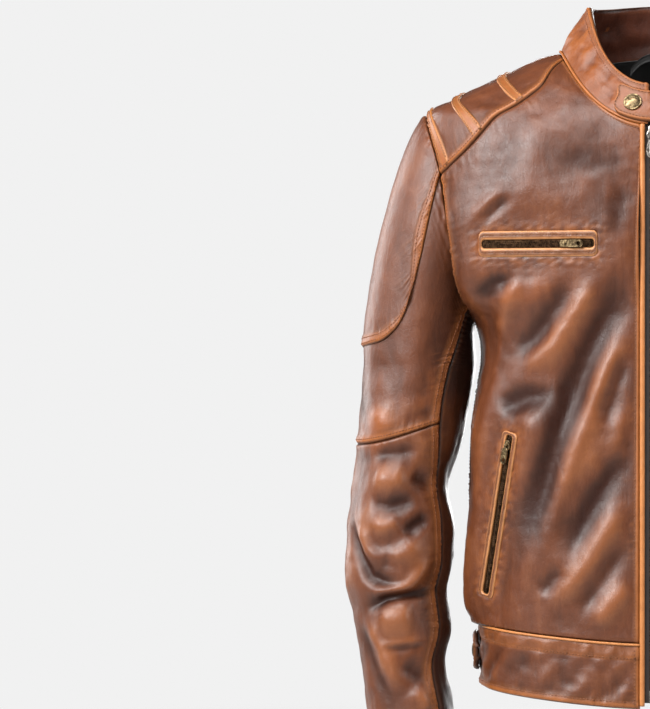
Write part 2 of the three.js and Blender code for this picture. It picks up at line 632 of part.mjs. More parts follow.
// ---- hanger loop, sewn inside the back of the neck ----
const loopHalf = 24;
const loopDrop = 15;
const loopStrip = 8;
const loopArch = new THREE.CatmullRomCurve3([-1, -0.86, -0.5, 0, 0.5, 0.86, 1].map(t =>
  v3(t * loopHalf, neckRing.back - 10, -loopDrop * Math.pow(Math.abs(t), 2.2) - loopStrip / 2)));
const strip = new THREE.Shape([[-1, -1], [1, -1], [1, 1], [-1, 1]].map(([x, y]) =>
  new THREE.Vector2(x, y * loopStrip / 2)));
add('hanger_loop', new THREE.ExtrudeGeometry(strip, { extrudePath: loopArch, steps: 14,
  bevelEnabled: false }), liningCloth);

// everything is measured from the top of the hanger loop
jacket.position.y = -(neckRing.back - 10);
export default jacket;
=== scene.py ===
import bpy
import math
import numpy as np
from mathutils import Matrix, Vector


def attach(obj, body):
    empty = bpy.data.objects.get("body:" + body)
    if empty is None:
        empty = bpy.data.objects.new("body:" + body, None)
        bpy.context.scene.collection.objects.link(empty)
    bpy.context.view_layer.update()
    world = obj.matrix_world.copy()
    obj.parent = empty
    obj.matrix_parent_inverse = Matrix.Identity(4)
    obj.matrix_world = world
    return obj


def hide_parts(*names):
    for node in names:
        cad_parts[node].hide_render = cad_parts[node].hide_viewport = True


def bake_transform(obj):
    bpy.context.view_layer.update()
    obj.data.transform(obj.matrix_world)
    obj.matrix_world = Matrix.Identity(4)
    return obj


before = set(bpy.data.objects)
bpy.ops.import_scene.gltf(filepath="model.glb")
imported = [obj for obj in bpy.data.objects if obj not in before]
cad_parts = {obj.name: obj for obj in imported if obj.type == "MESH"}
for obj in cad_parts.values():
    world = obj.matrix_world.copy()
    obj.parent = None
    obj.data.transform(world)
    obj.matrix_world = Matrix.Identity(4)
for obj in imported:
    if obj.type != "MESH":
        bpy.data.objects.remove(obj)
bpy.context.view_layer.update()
sides = {"right": 1, "left": -1}
print("frame loaded")

# Shapes are worked out in millimetres on the right side, then moved and mirrored by toFrame.
originY = -60.0          # the hanger loop is the frame's origin
fine = 1.0


# ---- small maths ----
def mix(a, b, t):
    return a + (b - a) * t


def smooth(t):
    c = np.clip(t, 0, 1)
    return c * c * (3 - 2 * c)


def unit(v):
    return v / np.maximum(np.linalg.norm(v, axis=-1, keepdims=True), 1e-12)


def toFrame(points, side=1):
    p = np.array(points, float)
    p[..., 0] *= side
    p[..., 1] += originY
    return p / 1000


def profile(rows):       # a smooth curve through rows of [position, value, value, ...]
    r = np.array(rows, float)
    x = r[:, 0]
    before = np.maximum(np.arange(len(r)) - 1, 0)
    after = np.minimum(np.arange(len(r)) + 1, len(r) - 1)
    slope = (r[after] - r[before]) / (x[after] - x[before])[:, None]

    def at(value):
        v = np.asarray(value, float)
        i = np.clip(np.searchsorted(x, v, side="right") - 1, 0, len(x) - 2)
        h = (x[i + 1] - x[i])[..., None]
        t = np.clip((v - x[i])[..., None] / h, 0, 1)
        t2, t3 = t * t, t * t * t
        a, b, sa, sb = r[i, 1:], r[i + 1, 1:], slope[i, 1:], slope[i + 1, 1:]
        return ((2 * t3 - 3 * t2 + 1) * a + (t3 - 2 * t2 + t) * h * sa
                + (3 * t2 - 2 * t3) * b + (t3 - t2) * h * sb)
    return at


def ripple(p, size, seed, waves=14):      # smooth noise about -1 to 1, features of a size in mm
    draw = np.random.default_rng(seed)
    k = unit(draw.normal(size=(waves, p.shape[-1]))) * draw.uniform(0.6, 1.5, (waves, 1))
    phase = draw.uniform(0, 2 * math.pi, waves)
    total = np.zeros(p.shape[:-1])
    for wave, start in zip(k, phase):
        total += np.cos(p @ wave * (math.pi / size) + start)
    return total / math.sqrt(waves / 2) * 0.8


# ---- the torso ----
# level up the body, half width, back Y, side Y, side Z, front Z, back Z, squareness
torsoRing = profile([
    [0, 172, 122, 0, -632, -642, -640, 2.5],
    [62, 173.5, 121, 0, -570, -580, -578, 2.5],
    [122, 180, 119, 0, -510, -516, -516, 2.5],
    [172, 183, 116, 0, -460, -463, -464, 2.5],
    [232, 181, 114, 0, -400, -401, -402, 2.5],
    [287, 176, 117, 0, -345, -345, -345, 2.5],
    [327, 171.5, 121, 2, -303, -302, -300, 2.5],
    [357, 177.5, 123, 4, -272, -272, -268, 2.5],
    [392, 197, 124, 5, -236, -238, -228, 2.7],
    [447, 214, 122, 6, -180, -196, -168, 2.9],
    [497, 224, 113, 6, -122, -157, -110, 2.7],
    [545, 226, 102, 5, -66, -126, -62, 2.2],
    [575, 195, 92, 6, -47, -113, -38, 2.0],
    [605, 154, 83, 7, -28, -102, -20, 1.95],
    [635, 114, 75, 8, -10, -90, -5, 2.0],
    [650, 93, 70, 9, -4, -83, 2, 2.1],
])
neckLevel, hemLevel, armpitLevel = 650.0, 62.0, 357.0
frontLineY, frontLineZ, frontLean = -112.0, -83.0, 0.0313
zipHalf = 13.0


def ringPoint(ring, turn, dip):
    half, front, back, side, sideZ, frontZ, backZ, square = ring
    c, s = np.cos(np.radians(turn)), np.sin(np.radians(turn))
    deep = np.where(s < 0, side - front, back - side)
    reach = ((np.abs(c) / half) ** square + (np.abs(s) / deep) ** square) ** (-1 / square)
    z = sideZ + (np.where(s < 0, frontZ, backZ) - sideZ) * np.abs(s) ** dip
    return np.stack([-reach * c, side + reach * s, z], -1)


def torso(turn, level):
    turn, level = np.broadcast_arrays(np.asarray(turn, float), np.asarray(level, float))
    half, back, side, sideZ, frontZ, backZ, square = np.moveaxis(torsoRing(level), -1, 0)
    front = frontLineY + (frontZ - frontLineZ) * frontLean
    return ringPoint((half, front, back, side, sideZ, frontZ, backZ, square), turn, 2.6)


def findOnTorso(axisA, a, axisB, b, turn, level):
    a, b = np.broadcast_arrays(np.asarray(a, float), np.asarray(b, float))
    turn, level = (np.broadcast_to(start, a.shape).astype(float) for start in (turn, level))
    for _ in range(40):
        step = np.where(level < neckLevel / 2, 0.05, -0.05)
        p, pt, pl = torso(turn, level), torso(turn + step, level), torso(turn, level + step)
        ea, eb = a - p[..., axisA], b - p[..., axisB]
        m0, m1 = (pt - p)[..., axisA] / step, (pl - p)[..., axisA] / step
        m2, m3 = (pt - p)[..., axisB] / step, (pl - p)[..., axisB] / step
        det = m0 * m3 - m1 * m2
        det = np.where(np.abs(det) < 1e-9, 1e-9, det)
        turn = turn + np.clip((ea * m3 - eb * m1) / det, -8, 8)
        level = np.clip(level + np.clip((eb * m0 - ea * m2) / det, -25, 25), 0, neckLevel)
    return turn, level


def fromFront(x, z):
    return findOnTorso(0, x, 2, z, -45.0, z + 640.0 if z < -250 else 520.0)


# ---- the sleeve ----
armhole = {"z": -169, "high": 103, "front": 64, "back": 68, "y": 2}
sleeveTop, sleeveEnd = -315.0, -712.0
# Z, centre X, half width, centre Y, half depth
sleeveRing = profile([
    [-712, -235, 41, -44, 41], [-659, -238, 43.5, -41, 42], [-610, -247, 41, -36, 43],
    [-575, -247, 47, -32, 46], [-535, -253.5, 48.5, -27, 49], [-510, -251.5, 53.5, -24, 52],
    [-470, -251, 53, -18, 54], [-430, -251, 48, -12, 55], [-393, -243.5, 52.5, -7, 56],
    [-350, -238.5, 55, -3, 58], [-315, -233.5, 57, 0, 60],
])


def solveArmhole(around):
    s = np.sin(np.radians(around))
    y = armhole["y"] - np.where(s > 0, armhole["front"], armhole["back"]) * s
    z = armhole["z"] + armhole["high"] * np.cos(np.radians(around))
    return np.stack(findOnTorso(1, y, 2, z, np.where(y < 0, -15.0, 15.0), 450.0), -1)


# the armhole is solved once, at every degree, and read from there
armholeTable = solveArmhole(np.arange(0, 361, 1.0))


def armholePoint(around):
    a = np.mod(np.asarray(around, float), 360)
    whole = np.arange(0, 361, 1.0)
    return np.stack([np.interp(a, whole, armholeTable[:, k]) for k in (0, 1)], -1)


def sleeveLevel(around, z):
    x, half, y, deep = np.moveaxis(sleeveRing(z), -1, 0)
    a = np.radians(around)
    places = np.broadcast_arrays(x - half * np.cos(a), y - deep * np.sin(a), np.asarray(z, float))
    return np.stack(places, -1)


def sleeve(around, down):
    around, down = np.broadcast_arrays(np.asarray(around, float), np.asarray(down, float))
    low = sleeveLevel(around, mix(sleeveTop, sleeveEnd, np.maximum(down, 1) - 1))
    spot = armholePoint(around)
    start = torso(spot[..., 0], spot[..., 1])
    end = sleeveLevel(around, np.full(around.shape, sleeveTop))
    drop = end - sleeveLevel(around, np.full(around.shape, sleeveTop + 1))
    reach = np.linalg.norm(end - start, axis=-1, keepdims=True)
    leave = np.stack([np.full(around.shape, -0.82), -0.2 * np.sin(np.radians(around)),
                      np.full(around.shape, -0.55)], -1) * 0.35 * reach
    arrive = drop * 0.9 * reach
    t = np.clip(down, 0, 1)[..., None]
    t2, t3 = t * t, t * t * t
    head = ((2 * t3 - 3 * t2 + 1) * start + (t3 - 2 * t2 + t) * leave
            + (3 * t2 - 2 * t3) * end + (t3 - t2) * arrive)
    return np.where(down[..., None] >= 1, low, head)


def downAt(z):
    return 1 + (z - sleeveTop) / (sleeveEnd - sleeveTop)


# ---- pocket zips: each lies in a plane, u along it, v across, n out ----
chestZip = {"from": (-168, -197), "to": (-53, -197), "width": 25, "slider": 27, "pull": 1}
handZip = {"from": (-162, -541), "to": (-136, -379), "width": 20, "slider": 70, "pull": -1}


def zipPlane(spec):
    a, b = (torso(*fromFront(*spec[end])) for end in ("from", "to"))
    turn, level = fromFront(*((start + end) / 2 for start, end in zip(spec["from"], spec["to"])))
    u = unit(b - a)
    across = torso(turn + 1, level) - torso(turn - 1, level)
    up = torso(turn, level + 2) - torso(turn, level - 2)
    n = unit(np.cross(up, across))
    n = unit(n - u * (n @ u))
    centre = (a + b) / 2
    centre = centre + n * 0.6 * ((torso(turn, level) - centre) @ n)
    return {"u": u, "v": np.cross(n, u), "n": n, "centre": centre,
            "half": float(np.linalg.norm(b - a)) / 2, "width": spec["width"]}


chestPlane, handPlane = zipPlane(chestZip), zipPlane(handZip)


def nearZip(p, plane, reach=60.0, margin=4.0):      # 1 on a pocket zip's flat place, 0 away from it
    local = p - plane["centre"]
    beyondU = np.maximum(np.abs(local @ plane["u"]) - plane["half"] - margin, 0)
    beyondV = np.maximum(np.abs(local @ plane["v"]) - plane["width"] / 2 - margin, 0)
    return 1 - smooth(np.hypot(beyondU, beyondV) / reach)


flatFrom = 12.0          # degrees from the side seam at which the zips' flat places count in full


def skin(turn, level):   # the torso with flat places for the pocket zips; side seams stay put
    p = torso(turn, level)
    for plane in (chestPlane, handPlane):
        near = nearZip(p, plane) * smooth(-np.asarray(turn, float) / flatFrom)
        p = p - plane["n"] * (near * ((p - plane["centre"]) @ plane["n"]))[..., None]
    return p


# ---- seams, as places on the torso and the sleeve ----
shoulderCorner, collarCornerTurn, backCollarTurn = 67.0, -26.0, 48.0
shoulderSeam = profile([[0, *armholePoint(shoulderCorner)]]
                       + [[t, *(float(v) for v in fromFront(x, z))] for t, x, z in (
                           (0.2, -186, -108), (0.38, -166, -87), (0.56, -141, -65),
                           (0.74, -119, -50), (0.86, -106, -36))]
                       + [[1, collarCornerTurn, neckLevel]])
backCorner = armholePoint(-shoulderCorner)


def backSeam(t):
    t = np.asarray(t, float)
    return np.stack([mix(backCorner[0], backCollarTurn, t),
                     mix(backCorner[1], neckLevel, np.maximum(t, 0) ** 0.85)], -1)


def zipEdge(level):      # where a front panel ends beside the zip
    level = np.asarray(level, float)
    turn = np.full(level.shape, -85.0)
    for _ in range(6):
        slope = torso(turn + 0.5, level)[..., 0] - torso(turn - 0.5, level)[..., 0]
        turn = turn - (torso(turn, level)[..., 0] + zipHalf) / slope
    return np.stack([turn, level], -1)


def sideThen(armholeEnd, offset, share=0.5):
    def edge(t):
        t = np.asarray(t, float)
        level = mix(hemLevel, armpitLevel, np.minimum(t / share, 1))
        low = np.stack([np.full(t.shape, offset), level], -1)
        high = armholePoint(mix(180, armholeEnd, (t - share) / (1 - share)))
        return np.where((t < share)[..., None], low, high)
    return edge


def line(a, b):          # a straight edge between two (turn, level) places
    return lambda t: mix(np.array(a, float), np.array(b, float), np.asarray(t, float)[..., None])


def patch(bottom, top, left, right):     # fills four edge curves
    def at(i, j):
        bl, br, tl, tr = bottom(0.0), bottom(1.0), top(0.0), top(1.0)
        ii, jj = i[..., None], j[..., None]
        return (mix(bottom(i), top(i), jj) + mix(left(j), right(j), ii)
                - mix(mix(bl, br, ii), mix(tl, tr, ii), jj))
    return at


def frontInner(t, share=0.83):
    t = np.asarray(t, float)
    low = zipEdge(mix(hemLevel, neckLevel, np.minimum(t / share, 1)))
    top = zipEdge(neckLevel)[0]
    high = line((top, neckLevel), (collarCornerTurn, neckLevel))((t - share) / (1 - share))
    return np.where((t < share)[..., None], low, high)


def backTop(t, share=0.5):
    t = np.asarray(t, float)
    high = line((backCollarTurn, neckLevel), (90, neckLevel))((t - share) / (1 - share))
    return np.where((t < share)[..., None], backSeam(t / share), high)


frontMap = patch(line((0, hemLevel), zipEdge(hemLevel)), shoulderSeam,
                 sideThen(shoulderCorner, 0), frontInner)
backMap = patch(line((0, hemLevel), (90, hemLevel)), backTop, sideThen(360 - shoulderCorner, 0),
                line((90, hemLevel), (90, neckLevel)))
shoulderMap = patch(lambda t: armholePoint(mix(shoulderCorner, -shoulderCorner, np.asarray(t, float))),
                    line((collarCornerTurn, neckLevel), (backCollarTurn, neckLevel)),
                    shoulderSeam, backSeam)

# sleeve seams: (down, around)
frontSeam = profile([[0, 152], [0.35, 147], [0.68, 138], [1, 126.5], [downAt(-350), 125],
                     [downAt(-390), 129], [downAt(-430), 143], [downAt(-495), 145], [downAt(-550), 146],
                     [downAt(-610), 139], [downAt(-659), 134], [2, 130]])
backSeamSleeve = profile([[0, -140], [1, -128], [2, -124]])
patchFront = [[0, shoulderCorner, 0], [0.1, 75.5, 0.2], [0.2, 80.5, 0.4], [0.28, 79, 0.6],
              [0.34, 74, 0.75], [0.39, 64, 0.84], [0.44, 45, 0.9]]
patchEdge = profile(patchFront + [[0.5, 0, 0.93]]
                    + [[1 - t, -a, d] for t, a, d in reversed(patchFront)])
# the elbow seam falls towards the back of the arm
elbowSeam = profile([[-130, downAt(-392)], [0, downAt(-394)], [60, downAt(-390)], [125, downAt(-372)]])
cuffTop = downAt(sleeveEnd + 46)


# ---- materials ----
class Wire:              # a shader socket that can be used in sums
    def __init__(self, graph, socket):
        self.graph, self.socket = graph, socket

    def maths(self, operation, *values):
        return self.graph.add("ShaderNodeMath", {"operation": operation}, dict(enumerate(values)))

    def __add__(self, other):
        return self.maths("ADD", self, other)

    def __sub__(self, other):
        return self.maths("SUBTRACT", self, other)

    def __rsub__(self, other):
        return self.maths("SUBTRACT", other, self)

    def __mul__(self, other):
        return self.maths("MULTIPLY", self, other)

    def __pow__(self, other):
        return self.maths("POWER", self, other)

    __radd__, __rmul__ = __add__, __mul__

    def held(self):      # kept between 0 and 1
        return self.graph.add("ShaderNodeClamp", {}, {0: self})

    def ramp(self, low, high):
        return self.graph.add("ShaderNodeMapRange", {"interpolation_type": "SMOOTHSTEP"},
                              {0: self, 1: low, 2: high})


class Graph:
    def __init__(self, name):
        self.material = bpy.data.materials.new(name)
        self.material.use_nodes = True
        self.tree = self.material.node_tree
        self.shader = self.tree.nodes["Principled BSDF"]

    def plug(self, node, sockets):
        for key, value in sockets.items():
            if isinstance(value, Wire):
                self.tree.links.new(value.socket, node.inputs[key])
            else:
                node.inputs[key].default_value = value

    def add(self, kind, settings, sockets, out=0):
        node = self.tree.nodes.new(kind)
        for key, value in settings.items():
            if key == "stops":
                while len(node.color_ramp.elements) < len(value):
                    node.color_ramp.elements.new(1)
                for stop, (place, colour) in zip(node.color_ramp.elements, value):
                    stop.position, stop.color = place, tint(colour)
            else:
                setattr(node, key, value)
        self.plug(node, sockets)
        return Wire(self, node.outputs[out])

    def colours(self, factor, a, b, way="MIX"):
        sockets = {0: factor, 6: tint(a), 7: tint(b)}
        return self.add("ShaderNodeMix", {"data_type": "RGBA", "blend_type": way}, sockets, 2)

    def noise(self, place, scale, detail=3, rough=0.55, distortion=0.0):
        return self.add("ShaderNodeTexNoise", {}, {"Vector": place, "Scale": scale, "Detail": detail,
                                                   "Roughness": rough, "Distortion": distortion})

    def stretch(self, place, x, y, z):
        return self.add("ShaderNodeVectorMath", {"operation": "MULTIPLY"}, {0: place, 1: (x, y, z)})

    def attribute(self, name, out=2):
        return self.add("ShaderNodeAttribute", {"attribute_name": name}, {}, out)

    def bumps(self, *layers):      # (height, distance in mm, strength)
        normal = None
        for height, distance, strength in layers:
            sockets = {"Height": height, "Distance": distance / 1000, "Strength": strength}
            if normal:
                sockets["Normal"] = normal
            normal = self.add("ShaderNodeBump", {}, sockets)
        return normal

    def finish(self, **sockets):
        self.plug(self.shader, {key.replace("_", " "): value for key, value in sockets.items()})
        return self.material


def tint(hexColour):     # "#rrggbb" to linear light
    if not isinstance(hexColour, str):
        return hexColour
    parts = [int(hexColour[k:k + 2], 16) / 255 for k in (1, 3, 5)]
    return tuple(c / 12.92 if c <= 0.04045 else ((c + 0.055) / 1.055) ** 2.4 for c in parts) + (1.0,)


bodyLeather = {"deep": "#2e1207", "dark": "#42200f", "middle": "#5e3119", "light": "#7d4a2b",
               "rub": "#8c4c22", "edge": "#9e5c2a", "rough": 0.4, "cloud": 8.0, "grain": 0.3}
# a darker copy of the body leather for the sleeve's underside: painted shade
underLeather = {**bodyLeather, "dark": "#1c0d07", "middle": "#35190e", "light": "#55301c",
                "rub": "#6b3a17"}
tanLeather = {**bodyLeather, "deep": "#4f240f", "dark": "#743a18", "middle": "#8f4f22",
              "light": "#a5622b", "rub": "#ad6a30", "edge": "#bb7840"}


def makeLeather(name, look):
    g = Graph(name)
    place = g.attribute("rest", 1)
    wear, fold, seam = (g.attribute(word) for word in ("wear", "fold", "seam"))
    cloud = g.noise(place, look["cloud"], 2, 0.5, 0.9)
    streak = g.noise(g.stretch(place, 2.6, 2.6, 0.7), 26, 3, 0.6, 0.8)
    mottle = g.noise(place, 95, 4, 0.62, 0.4)
    speck = g.noise(place, 620, 3, 0.6)
    # tone follows noise and the fold heights: ridges lighter and valleys darker, a painted highlight
    # and painted shade
    tone = (0.54 + (cloud - 0.5) * 0.7 + (streak - 0.5) * 0.4 + (mottle - 0.5) * 0.2
            + fold * 0.34)
    colour = g.add("ShaderNodeValToRGB", {"stops": [
        (0.06, look["deep"]), (0.3, look["dark"]), (0.58, look["middle"]),
        (0.88, look["light"])]}, {0: tone})
    # dye rubbed away in soft patches and along raised creases
    patches = g.noise(place, 9, 2, 0.5, 0.8).ramp(0.54, 0.74)
    rub = (patches * 0.6 * (0.75 + (streak - 0.5)) + (fold - 0.45) * 0.35).held()
    colour = g.colours(rub, colour, look["rub"])
    worn = (wear * (0.55 + mottle * 0.85)).held()
    colour = g.colours(worn, colour, look["edge"])
    # painted shade: the valleys of folds are darkened towards the deepest colour
    creaseShade = (fold * -0.95 - 0.12).held()
    colour = g.colours(creaseShade * 0.8, colour, look["deep"])
    # painted shade in the seam grooves, near black
    colour = g.colours((seam * 0.9).held(), colour, "#150805")
    colour = g.colours((speck * 0.3 - 0.05).held(), colour, "#4a2a1c", "MULTIPLY")
    cells = g.add("ShaderNodeTexVoronoi", {"feature": "DISTANCE_TO_EDGE"},
                  {"Vector": g.colours(0.0016, place, g.noise(place, 300, 2), "ADD"), "Scale": 950})
    creases = g.add("ShaderNodeTexVoronoi", {"feature": "DISTANCE_TO_EDGE"},
                    {"Vector": g.colours(0.012, place, g.noise(place, 60, 3), "ADD"), "Scale": 150})
    rough = look["rough"] + (mottle - 0.5) * 0.3 + (speck - 0.5) * 0.12 + wear * 0.1 - fold * 0.04
    normal = g.bumps((cells.ramp(0, 0.12), 0.1, look["grain"]), (creases.ramp(0, 0.05), 0.22, 0.3),
                     (mottle, 0.9, 0.5), (streak, 2.4, 0.3))
    shine = (0.32 - creaseShade * 0.4 - seam * 0.4).held()
    return g.finish(Base_Color=colour, Roughness=rough, Normal=normal, Specular_IOR_Level=0.3,
                    Coat_Weight=shine, Coat_Roughness=0.42, Coat_IOR=1.45)


def makeThread(name, colour):
    g = Graph(name)
    place = g.attribute("rest", 1)
    fuzz = g.noise(place, 1400, 3)
    tone = g.colours(fuzz, colour, "#3a1c0d")
    return g.finish(Base_Color=tone, Roughness=0.6 + (fuzz - 0.5) * 0.3,
                    Normal=g.bumps((fuzz, 0.1, 0.5)))


def makeCloth(name, dark, light, pitch=1500):
    g = Graph(name)
    place = g.attribute("rest", 1)
    twill = g.add("ShaderNodeTexWave", {"bands_direction": "DIAGONAL"},
                  {"Vector": place, "Scale": pitch / 3, "Distortion": 0.6, "Detail": 1})
    cloud = g.noise(place, 30, 3)
    colour = g.colours((twill * 0.5 + cloud * 0.5).held(), dark, light)
    return g.finish(Base_Color=colour, Roughness=0.62 + (cloud - 0.5) * 0.3, Sheen_Weight=0.25,
                    Normal=g.bumps((twill, 0.08, 0.5), (cloud, 0.8, 0.3)))


def makeMetal(name, dark, bright, rough, metal=1.0):
    g = Graph(name)
    place = g.add("ShaderNodeTexCoord", {}, {}, 3)
    cloud = g.noise(place, 320, 4, 0.65)
    scratch = g.noise(g.stretch(place, 1, 1, 9), 900, 3)
    colour = g.colours(cloud.ramp(0.36, 0.66), dark, bright)
    return g.finish(Base_Color=colour, Roughness=rough + (scratch - 0.5) * 0.3 + (0.5 - cloud) * 0.25,
                    Metallic=metal, Normal=g.bumps((scratch, 0.05, 0.3), (cloud, 0.15, 0.35)))


leather = makeLeather("wornLeather", bodyLeather)
leatherUnder = makeLeather("shadedLeather", underLeather)
leatherTan = makeLeather("rubbedTanLeather", tanLeather)
collarLeather = makeLeather("collarLeather", {**bodyLeather, "dark": "#5c2d13", "middle": "#7f451f",
                                              "light": "#97592a", "rub": "#a0602c"})
# built on the shaded copy and darker still: painted shade inside the collar
leatherInside = makeLeather("insideLeather", {**underLeather, "dark": "#2a120a", "middle": "#4d2414"})
leatherWelt = makeLeather("weltLeather", {**bodyLeather, "dark": "#3a1c0f", "middle": "#5d3019",
                                          "edge": "#c88a55"})
thread = makeThread("waxedThread", "#8a4c22")
liningCloth = makeCloth("liningTwill", "#0a0909", "#1c1917")
tapeCloth = makeCloth("zipTape", "#130c08", "#2b1c12", 2400)
darkBrass = makeMetal("darkBrassTeeth", "#1a120c", "#5a4330", 0.42)
brass = makeMetal("snapBrass", "#3d3022", "#94805f", 0.44)
nickel = makeMetal("wornNickel", "#4a443f", "#b9b1a8", 0.3)
print("materials made")


# ---- meshes ----
def makeMesh(name, points, faces, materials, side=1, attributes=None, faceMaterial=None,
             smoothShade=True, rest=None):
    mesh = bpy.data.meshes.new(name)
    placed = toFrame(points, side)
    faces = [np.asarray(f) for f in faces if len(f)]
    if side < 0:
        faces = [f[:, ::-1] for f in faces]
    loops = np.concatenate([f.ravel() for f in faces]).astype(np.int32)
    sizes = np.concatenate([np.full(len(f), f.shape[1]) for f in faces])
    starts = np.concatenate([[0], np.cumsum(sizes)[:-1]]).astype(np.int32)
    mesh.vertices.add(len(placed))
    mesh.vertices.foreach_set("co", placed.astype(np.float32).ravel())
    mesh.loops.add(len(loops))
    mesh.loops.foreach_set("vertex_index", loops)
    mesh.polygons.add(len(sizes))
    mesh.polygons.foreach_set("loop_start", starts)
    for m in materials if isinstance(materials, (list, tuple)) else [materials]:
        mesh.materials.append(m)
    if faceMaterial is not None:
        mesh.polygons.foreach_set("material_index", faceMaterial.astype(np.int32))
    mesh.update(calc_edges=True)
    mesh.validate()
    mesh.polygons.foreach_set("use_smooth", np.full(len(mesh.polygons), smoothShade))
    restPlace = placed if rest is None else toFrame(rest, side)
    restValues = mesh.attributes.new("rest", "FLOAT_VECTOR", "POINT")
    restValues.data.foreach_set("vector", restPlace.astype(np.float32).ravel())
    for word in ("wear", "fold", "seam"):
        values = (attributes or {}).get(word, 0.0)
        values = np.broadcast_to(np.asarray(values, np.float32), len(placed))
        stored = mesh.attributes.new(word, "FLOAT", "POINT")
        stored.data.foreach_set("value", np.ascontiguousarray(values))
    piece = bpy.data.objects.new(name, mesh)
    bpy.context.scene.collection.objects.link(piece)
    return piece


def settle(piece, body, replaced=(), bend=None):
    if bend:
        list(bend["bodies"])
        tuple(bend["start"])
        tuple(bend["end"])
        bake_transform(piece)
    else:
        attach(piece, body)
    if replaced:
        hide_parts(*replaced)
    return piece


def gridQuads(rows, columns, first=0):
    index = first + np.arange(rows * columns).reshape(rows, columns)
    return np.stack([index[:-1, :-1], index[:-1, 1:], index[1:, 1:], index[1:, :-1]], -1).reshape(-1, 4)


def ringFaces(rows, around):       # a tube of quads through rows of rings, closed at both ends
    index = np.arange(rows * around).reshape(rows, around)
    after = np.roll(index, -1, 1)
    quads = np.stack([index[:-1], after[:-1], after[1:], index[1:]], -1).reshape(-1, 4)
    return [quads, index[0][::-1][None], index[-1][None]]


def gridNormals(p, heart):
    n = unit(np.cross(np.gradient(p, axis=1), np.gradient(p, axis=0)))
    out = np.sum(n * (p - np.array(heart, float)), -1)
    return n if np.mean(out) > 0 else -n


def strokeField(p, strokes):       # creases: each a line in space, a width and a height in mm
    total = np.zeros(p.shape[:-1])
    for stroke in strokes:
        path = stroke["path"]
        lengths = np.linalg.norm(np.diff(path, axis=0), axis=1)
        best, along = np.full(total.shape, 1e9), np.zeros(total.shape)
        run = 0.0
        for a, b, length in zip(path[:-1], path[1:], lengths):
            t = np.clip(((p - a) @ (b - a)) / length ** 2, 0, 1)
            away = np.linalg.norm(p - a - t[..., None] * (b - a), axis=-1)
            nearer = away < best
            best = np.where(nearer, away, best)
            along = np.where(nearer, run + t * length, along)
            run += length
        taper = smooth(np.minimum(along, run - along) / (0.35 * run) + 0.12)
        total += stroke["height"] * taper * np.exp(-(best / stroke["width"]) ** 2)
    return total


seamLook = {"valley": 1.5, "valleyWidth": 2.2, "band": 6.6, "raise": 0.8, "pucker": 0.7,
            "puckerPitch": 2.7, "puckerReach": 9.0, "pitch": 3.3, "stitchRadius": 0.42,
            "cornerGap": 3.4, "stitchShare": 0.39}
sideOrder = ("left", "right", "bottom", "top")
upright = ("left", "right")


def edgeDistances(p):    # how far each grid point is from the four sides, over the surface
    across = np.linalg.norm(np.diff(p, axis=1), axis=-1)
    left = np.concatenate([np.zeros((len(p), 1)), np.cumsum(across, 1)], 1)
    up = np.linalg.norm(np.diff(p, axis=0), axis=-1)
    bottom = np.concatenate([np.zeros((1, p.shape[1])), np.cumsum(up, 0)], 0)
    return {"left": left, "right": left[:, -1:] - left, "bottom": bottom, "top": bottom[-1:] - bottom}


# what each kind of panel side does: valley, raised band with stitches, puckers, rub-off
sideKinds = {
    "stitched": {"drop": 1.0, "band": 1, "rows": (4.6,), "pucker": 0.8, "wear": 0.75},
    "double": {"drop": 1.0, "band": 1.5, "rows": (3.2, 8.2), "pucker": 0.8, "wear": 0.8},
    "tucked": {"drop": 1.0, "band": 0, "rows": (), "pucker": 1.25, "wear": 0.12},
    "rolled": {"drop": 1.3, "band": 0.5, "rows": (5.2,), "pucker": 0.4, "wear": 1.0},
    "cord": {"drop": 1.2, "band": 0.3, "rows": (2.4,), "pucker": 0.3, "wear": 0.8},
    "collarTop": {"drop": 1.2, "band": 0.55, "rows": (4.2, 9.6), "pucker": 0.5, "wear": 0.9},
    "hemEdge": {"drop": 1.6, "band": 1.0, "rows": (6.4,), "pucker": 0.9, "wear": 0.75},
    "tabEdge": {"drop": 1.3, "band": 0.4, "rows": (3.4,), "pucker": 0.25, "wear": 0.8},
    "loopEdge": {"drop": 0.5, "band": 0, "rows": (), "pucker": 0.2, "wear": 0},
    "plain": {"drop": 0.4, "band": 0, "rows": (), "pucker": 0.3, "wear": 0.1},
}


def edged(left=None, right=None, bottom=None, top=None):           # the kinds of a panel's sides
    kinds = dict(zip(sideOrder, (left, right, bottom, top)))
    return {where: kind for where, kind in kinds.items() if kind}


def rippled(*layers):    # folds made of layers, each a size and a height in mm
    def folds(p, seed):
        return sum(ripple(p, size, seed + k) * height for k, (size, height) in enumerate(layers))
    return folds


